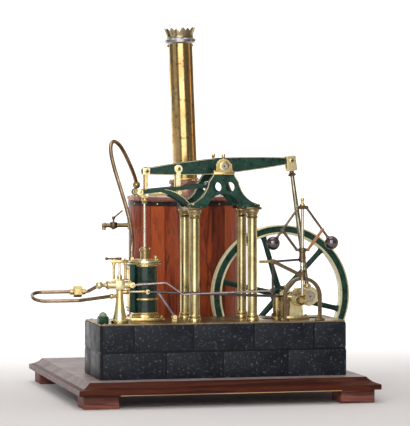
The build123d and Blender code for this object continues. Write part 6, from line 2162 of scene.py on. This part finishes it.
@dataclass
class Governor:
    """The ball governor with its arch, spindle, arms, sleeve, lever and throttle rod."""

    arch_z: float = 104.0
    pivot_z: float = 221.0
    pivot_x: float = 5.2
    spread: float = 36.5
    joint: float = 37.0
    ball: float = 58.0
    lever: Flat = (233.0, 150.0)
    lever_foot: float = 111.5
    sleeve_joint: Flat = (7.4, 165.2)

    def build(self) -> list[Piece]:
        """Builds the governor's pieces.

        Returns:
            The finished pieces.
        """
        arms = [self.make_arm(1, Body.ARM_RIGHT, LINK_COPPER), self.make_arm(-1, Body.ARM_LEFT, BRONZE)]
        links = [self.make_link(1, Body.LINK_RIGHT, LINK_COPPER), self.make_link(-1, Body.LINK_LEFT, BRONZE)]
        return [self.make_stand(), self.make_spindle(), *arms, *links, self.make_sleeve(), self.make_lever(),
                self.make_throttle()]

    def place(self, side: int, reach: float) -> Flat:
        """Returns a point along one arm in X and Z."""
        lean = math.radians(self.spread)
        return (LAYOUT.shaft[0] + side * (self.pivot_x + reach * math.sin(lean)),
                self.pivot_z - reach * math.cos(lean))

    def make_stand(self) -> Piece:
        """Builds the arch with its feet, boss and the lever's bracket.

        Returns:
            The finished piece.
        """
        x, y, bed = LAYOUT.shaft[0], LAYOUT.governor_y, LAYOUT.bed_z
        arch = [*arc((x, self.arch_z), 26.0, 0, 180, 40), (x - 26.0, bed + 2.8), (x - 21.5, bed + 2.8),
                *arc((x, self.arch_z), 21.5, 180, 0, 36), (x + 21.5, bed + 2.8), (x + 26.0, bed + 2.8)]
        shape = Shape(BRONZE).plate([arch], y - 3.0, y + 3.0, 0.6)
        for s in SIDES:
            foot = x + s * 23.75
            shape.use(BRONZE).block((foot - 6.0, y - 3.0, bed), (foot + 6.0, y + 3.0, bed + 3.0), 0.5)
            shape.use(BRASS).nut((x + s * 27.4, y, bed + 3.0), 1.5, 1.4)
        arm = shank((x, 131.0), self.lever, 2.3, 3.4, 4.5)
        shape.use(BRONZE).plate([arm], y - 2.9, y + 2.9, 0.5)
        shape.turned(((2.1, 125.5), (5.0, 125.5), (5.0, 127.5), (4.2, 129.0), (4.4, 134.0), (5.0, 136.0),
                      (5.0, 137.6), (4.5, 138.5), (2.1, 138.5)), (x, y, 0), steps=36, closed=True)
        shape.use(STEEL).pin(self.lever[0], self.lever[1], 1.35, y + 2.5, 13.8, 18)
        return shape.build("governor_stand")

    def make_spindle(self) -> Piece:
        """Builds the bright spindle with its bevel gear, cheeks, head and finial.

        Returns:
            The finished piece.
        """
        x, y = LAYOUT.shaft[0], LAYOUT.governor_y
        shape = Shape(STEEL)
        shape.turned(((0, 104.0), (2.0, 104.0), (2.0, 139.0), (3.0, 139.0), (3.0, 148.4), (2.6, 149.0),
                      (2.0, 149.0), (2.0, 226.0), (0, 226.0)), (x, y, 0), steps=32)
        shape.use(BRONZE)
        cheek = shank((x - 5.2, self.pivot_z), (x + 5.2, self.pivot_z), 2.4, 2.4, 4.8)
        for y0 in (y - 3.2, y + 1.7):
            shape.plate([cheek], y0, y0 + 1.5, 0.3)
        shape.use(STEEL)
        for s in SIDES:
            shape.pin(x + s * 5.2, self.pivot_z, 1.0, y - 3.2, y + 3.2, 16)
        shape.use(BRASS).turned(((0, 223.4), (3.1, 223.4), (3.4, 223.8), (3.4, 225.4), (2.4, 226.2),
                                 (1.6, 227.4), (1.6, 229.0), (0, 229.0)), (x, y, 0), steps=28)
        shape.ball((x, y, 231.0), 2.6, 20)
        CrankEnd.gear(shape, Matrix.Translation((x, y, 105.5)))
        return shape.build("governor_spindle", Body.SPINDLE)

    def make_arm(self, side: int, body: Body, joint_finish: Finish) -> Piece:
        """Builds one arm with its dark ball.

        Args:
            side: 1 for the right arm, -1 for the left.
            body: The arm's body, with the node's own name.
            joint_finish: The metal of the link's joint.

        Returns:
            The finished arm.
        """
        y = LAYOUT.governor_y
        top, joint, ball = self.place(side, 0.0), self.place(side, self.joint), self.place(side, self.ball)
        shape = Shape(BRONZE).bar((top[0], y, top[1]), (ball[0], y, ball[1]), 1.6, steps=20)
        eye = ((1.05, -1.4), (2.4, -1.4), (2.4, 1.4), (1.05, 1.4))
        shape.turned(eye, (top[0], y, top[1]), Axis.Y, 24, closed=True)
        shape.use(joint_finish).pin(joint[0], joint[1], 2.4, y - 1.4, y + 1.4)
        shape.use(STEEL).pin(joint[0], joint[1], 0.9, y - 3.0, y + 3.0, 16)
        shape.use(DARK_STEEL).ball((ball[0], y, ball[1]), 9.0, 40)
        centre, way = Vector((ball[0], y, ball[1])), Vector((ball[0] - top[0], 0,
                                                             ball[1] - top[1])).normalized()
        shape.use(BRONZE).turned(((0, 0), (2.6, 0), (2.0, 1.4), (1.3, 2.0), (0, 2.0)), centre - way * 8.7,
                                 -way, 20)
        return shape.build(body.value, body)

    def make_link(self, side: int, body: Body, finish: Finish) -> Piece:
        """Builds one lower link as a pair of flat straps.

        Args:
            side: 1 for the right link, -1 for the left.
            body: The link's body, with the node's own name.
            finish: The straps' metal.

        Returns:
            The finished link.
        """
        y, joint = LAYOUT.governor_y, self.place(side, self.joint)
        end = (LAYOUT.shaft[0] + side * self.sleeve_joint[0], self.sleeve_joint[1])
        shape = Shape(finish)
        for y0 in (y - 2.7, y + 1.7):
            shape.plate([shank(joint, end, 2.1, 1.9, 2.8), ring(joint, 0.98, 16), ring(end, 1.3, 16)], y0,
                        y0 + 1.0, 0.15)
        return shape.build(body.value, body)

    def make_sleeve(self) -> Piece:
        """Builds the sliding sleeve with its groove and lugs.

        Returns:
            The finished piece.
        """
        x, y = LAYOUT.shaft[0], LAYOUT.governor_y
        shape = Shape(BRONZE)
        (joint_x, joint_z), eye = self.sleeve_joint, 1.9
        shape.turned(((3.2, 149.3), (4.5, 149.3), (4.7, 149.6), (4.7, 150.8), (3.9, 150.8), (3.9, 153.8),
                      (4.7, 153.8), (4.7, 156.0), (4.2, 156.6), (4.2, 162.0), (4.7, 162.6), (4.7, 167.2),
                      (4.3, 167.7), (2.1, 167.7), (2.1, 160.0), (3.2, 160.0)), (x, y, 0), steps=36,
                     closed=True)
        for s in SIDES:
            lug = [(3.0, joint_z - eye), *arc((joint_x, joint_z), eye, -90, 90, 12), (3.0, joint_z + eye)]
            shape.use(BRONZE).plate([[(x + s * a, b) for a, b in lug]], y - 1.4, y + 1.4, 0.2)
            shape.use(STEEL).pin(x + s * joint_x, joint_z, 0.9, y - 3.0, y + 3.0, 16)
        return shape.build("governor_sleeve", Body.SLEEVE)

    def make_lever(self) -> Piece:
        """Builds the bell-crank lever with its tapered tail.

        Returns:
            The finished piece.
        """
        x, z = self.lever
        tip = (LAYOUT.shaft[0], 152.3)
        shape = Shape(DARK_STEEL)
        shape.plate([shank((x, z), tip, 3.4, 1.5, 3.0)], 11.0, 13.5, 0.3)
        shape.plate([shank((x, z), (x, self.lever_foot), 3.4, 3.0, 3.0)], 11.05, 13.45, 0.3)
        shape.use(BRASS).bar((x, 12.25, z), (x - 18.0, 12.25, z), 1.6, 2.1, 20)
        shape.turned(((1.5, -0.3), (3.0, -0.3), (3.0, 0.1), (1.5, 0.1)), (x, 13.5, z), Axis.Y, 24,
                     closed=True)
        shape.use(STEEL).pin(tip[0], tip[1], 0.9, 10.3, 11.4, 16)
        shape.pin(x, self.lever_foot, 1.2, 13.2, 16.8, 16)
        return shape.build("governor_lever", Body.LEVER)

    def make_throttle(self) -> Piece:
        """Builds the cranked throttle rod with its eyes.

        Returns:
            The finished piece.
        """
        y, foot, end = 15.4, (self.lever[0], self.lever_foot), (46.0, LAYOUT.valve_z)
        route = [(foot[0], y, foot[1]), (113.0, y, 108.5), (91.0, y, 124.0), (end[0], y, end[1])]
        shape = Shape(PALE_ROD).tube(rounded(route, (8.0, 8.0), 8), 1.25)
        shape.use(BRASS).turned(((2.2, -1.1), (3.4, -1.1), (3.6, -0.9), (3.6, 0.9), (3.4, 1.1), (2.2, 1.1)),
                                route[0], Axis.Y, 28, closed=True)
        shape.pin(*end, 3.6, y - 1.1, y + 1.1, 28)
        shape.use(STEEL).screw((end[0], y - 1.1, end[1]), 1.6, 0.02, (0, -1, 0), 40.0)
        return shape.build("throttle_rod", Body.THROTTLE)


@dataclass
class Stage:
    """The pale floor and backdrop, the lamps and the camera."""

    camera: Point = (-0.762058, -3.440802, 0.360353)
    yaw: float = 0.2275078
    pitch: float = -0.0331823
    roll: float = -0.00080647
    lens: float = 219.70

    def build(self) -> None:
        """Builds the floor, the backdrop, the world, the lamps and the camera."""
        self.make_sheet("Floor", [(-6, -5, 0), (6, -5, 0), (6, 6, 0), (-6, 6, 0)], FLOOR_PAPER)
        self.make_sheet("Backdrop", [(-6, 5.9, -0.5), (6, 5.9, -0.5), (6, 5.9, 6), (-6, 5.9, 6)],
                        BACKDROP_WHITE)
        self.make_world()
        self.make_lamp("Front", (-0.42, -1.57, 0.85), (-0.42, 0.0, 0.85), (1.45, 1.7), 15.5)
        self.make_lamp("Key", (-1.5, -2.6, 1.5), (0.0, 0.0, 0.2), (0.35, 0.35), 14.0)
        self.make_lamp("Top", (-0.2, 0.2, 2.2), (0.0, 0.0, 0.2), (1.6, 1.6), 13.0)
        self.make_lamp("Left", (-2.4, -0.6, 0.6), (0.0, 0.0, 0.2), (1.6, 1.4), 2.2)
        self.make_lamp("Warm", (2.4, -0.4, 0.4), (0.0, 0.0, 0.2), (0.5, 1.2), 1.8, (1.0, 0.56, 0.28))
        self.make_camera()

    @staticmethod
    def make_sheet(name: str, corners: Sequence[Point], finish: Finish) -> None:
        """Adds one flat sheet of the room, with its corners in metres.

        Args:
            name: The sheet's name.
            corners: Its four corners in metres.
            finish: Its paper.
        """
        mesh = bpy.data.meshes.new(name)
        mesh.from_pydata(corners, [], [(0, 1, 2, 3)])
        mesh.materials.append(finish.material())
        link(name, mesh)

    def make_world(self) -> None:
        """Makes the room's soft light, darker low down."""
        world = bpy.data.worlds.new("room")
        world.use_nodes = True
        bpy.context.scene.world = world
        graph = Graph(world.node_tree)
        shade = world.node_tree.nodes["Background"]
        height = graph.parts(graph.place("Generated"))["Z"]
        colour = graph.mix(graph.ramp(height, -0.1, 0.7), (0.14, 0.12, 0.11), (0.85, 0.84, 0.82))
        graph.feed(shade.inputs["Color"], colour)
        shade.inputs["Strength"].default_value = 0.5

    def make_lamp(self, name: str, place: Point, target: Point, size: Flat, power: float,
                  colour: Colour = (1.0, 1.0, 1.0)) -> None:
        """Adds a soft panel lamp that faces a point.

        Args:
            name: The lamp's name.
            place: Where it stands, in metres.
            target: What it faces.
            size: Its width and height in metres.
            power: Its power in watts.
            colour: Its light's colour.
        """
        data = bpy.data.lights.new(name, "AREA")
        data.shape = "RECTANGLE"
        data.size, data.size_y = size
        data.energy = power
        data.color = colour
        lamp = link(name, data)
        lamp.location = place
        lamp.rotation_euler = (Vector(target) - Vector(place)).to_track_quat("-Z", "Y").to_euler()
        lamp.visible_camera = False

    def make_camera(self) -> None:
        """Places the camera where the photograph was taken."""
        sin_yaw, cos_yaw = math.sin(self.yaw), math.cos(self.yaw)
        ahead = Vector((sin_yaw * math.cos(self.pitch), cos_yaw * math.cos(self.pitch), math.sin(self.pitch)))
        right = Vector((cos_yaw, -sin_yaw, 0.0))
        up = right.cross(ahead)
        turned = right * math.cos(self.roll) + up * math.sin(self.roll)
        risen = up * math.cos(self.roll) - right * math.sin(self.roll)
        data = bpy.data.cameras.new("Camera")
        data.lens = self.lens
        data.sensor_width = 36.0
        data.clip_end = 50.0
        camera = link("Camera", data)
        frame = Matrix((turned, risen, -ahead)).transposed().to_4x4()
        camera.matrix_world = Matrix.Translation(self.camera) @ frame
        bpy.context.scene.camera = camera


def main() -> None:
    """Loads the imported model, dresses every piece and finishes the scene."""
    logging.basicConfig(level=logging.INFO, format="%(message)s")
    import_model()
    scene = bpy.context.scene
    scene.view_settings.view_transform = "Standard"
    for part in (Base(), Frame(), Motion(), SteamEnd(), Pipes(), Boiler(), CrankEnd(), Governor()):
        made = part.build()
        log.info("%s: %d objects", type(part).__name__, len(made))
    Stage().build()


if __name__ == "__main__":
    main()
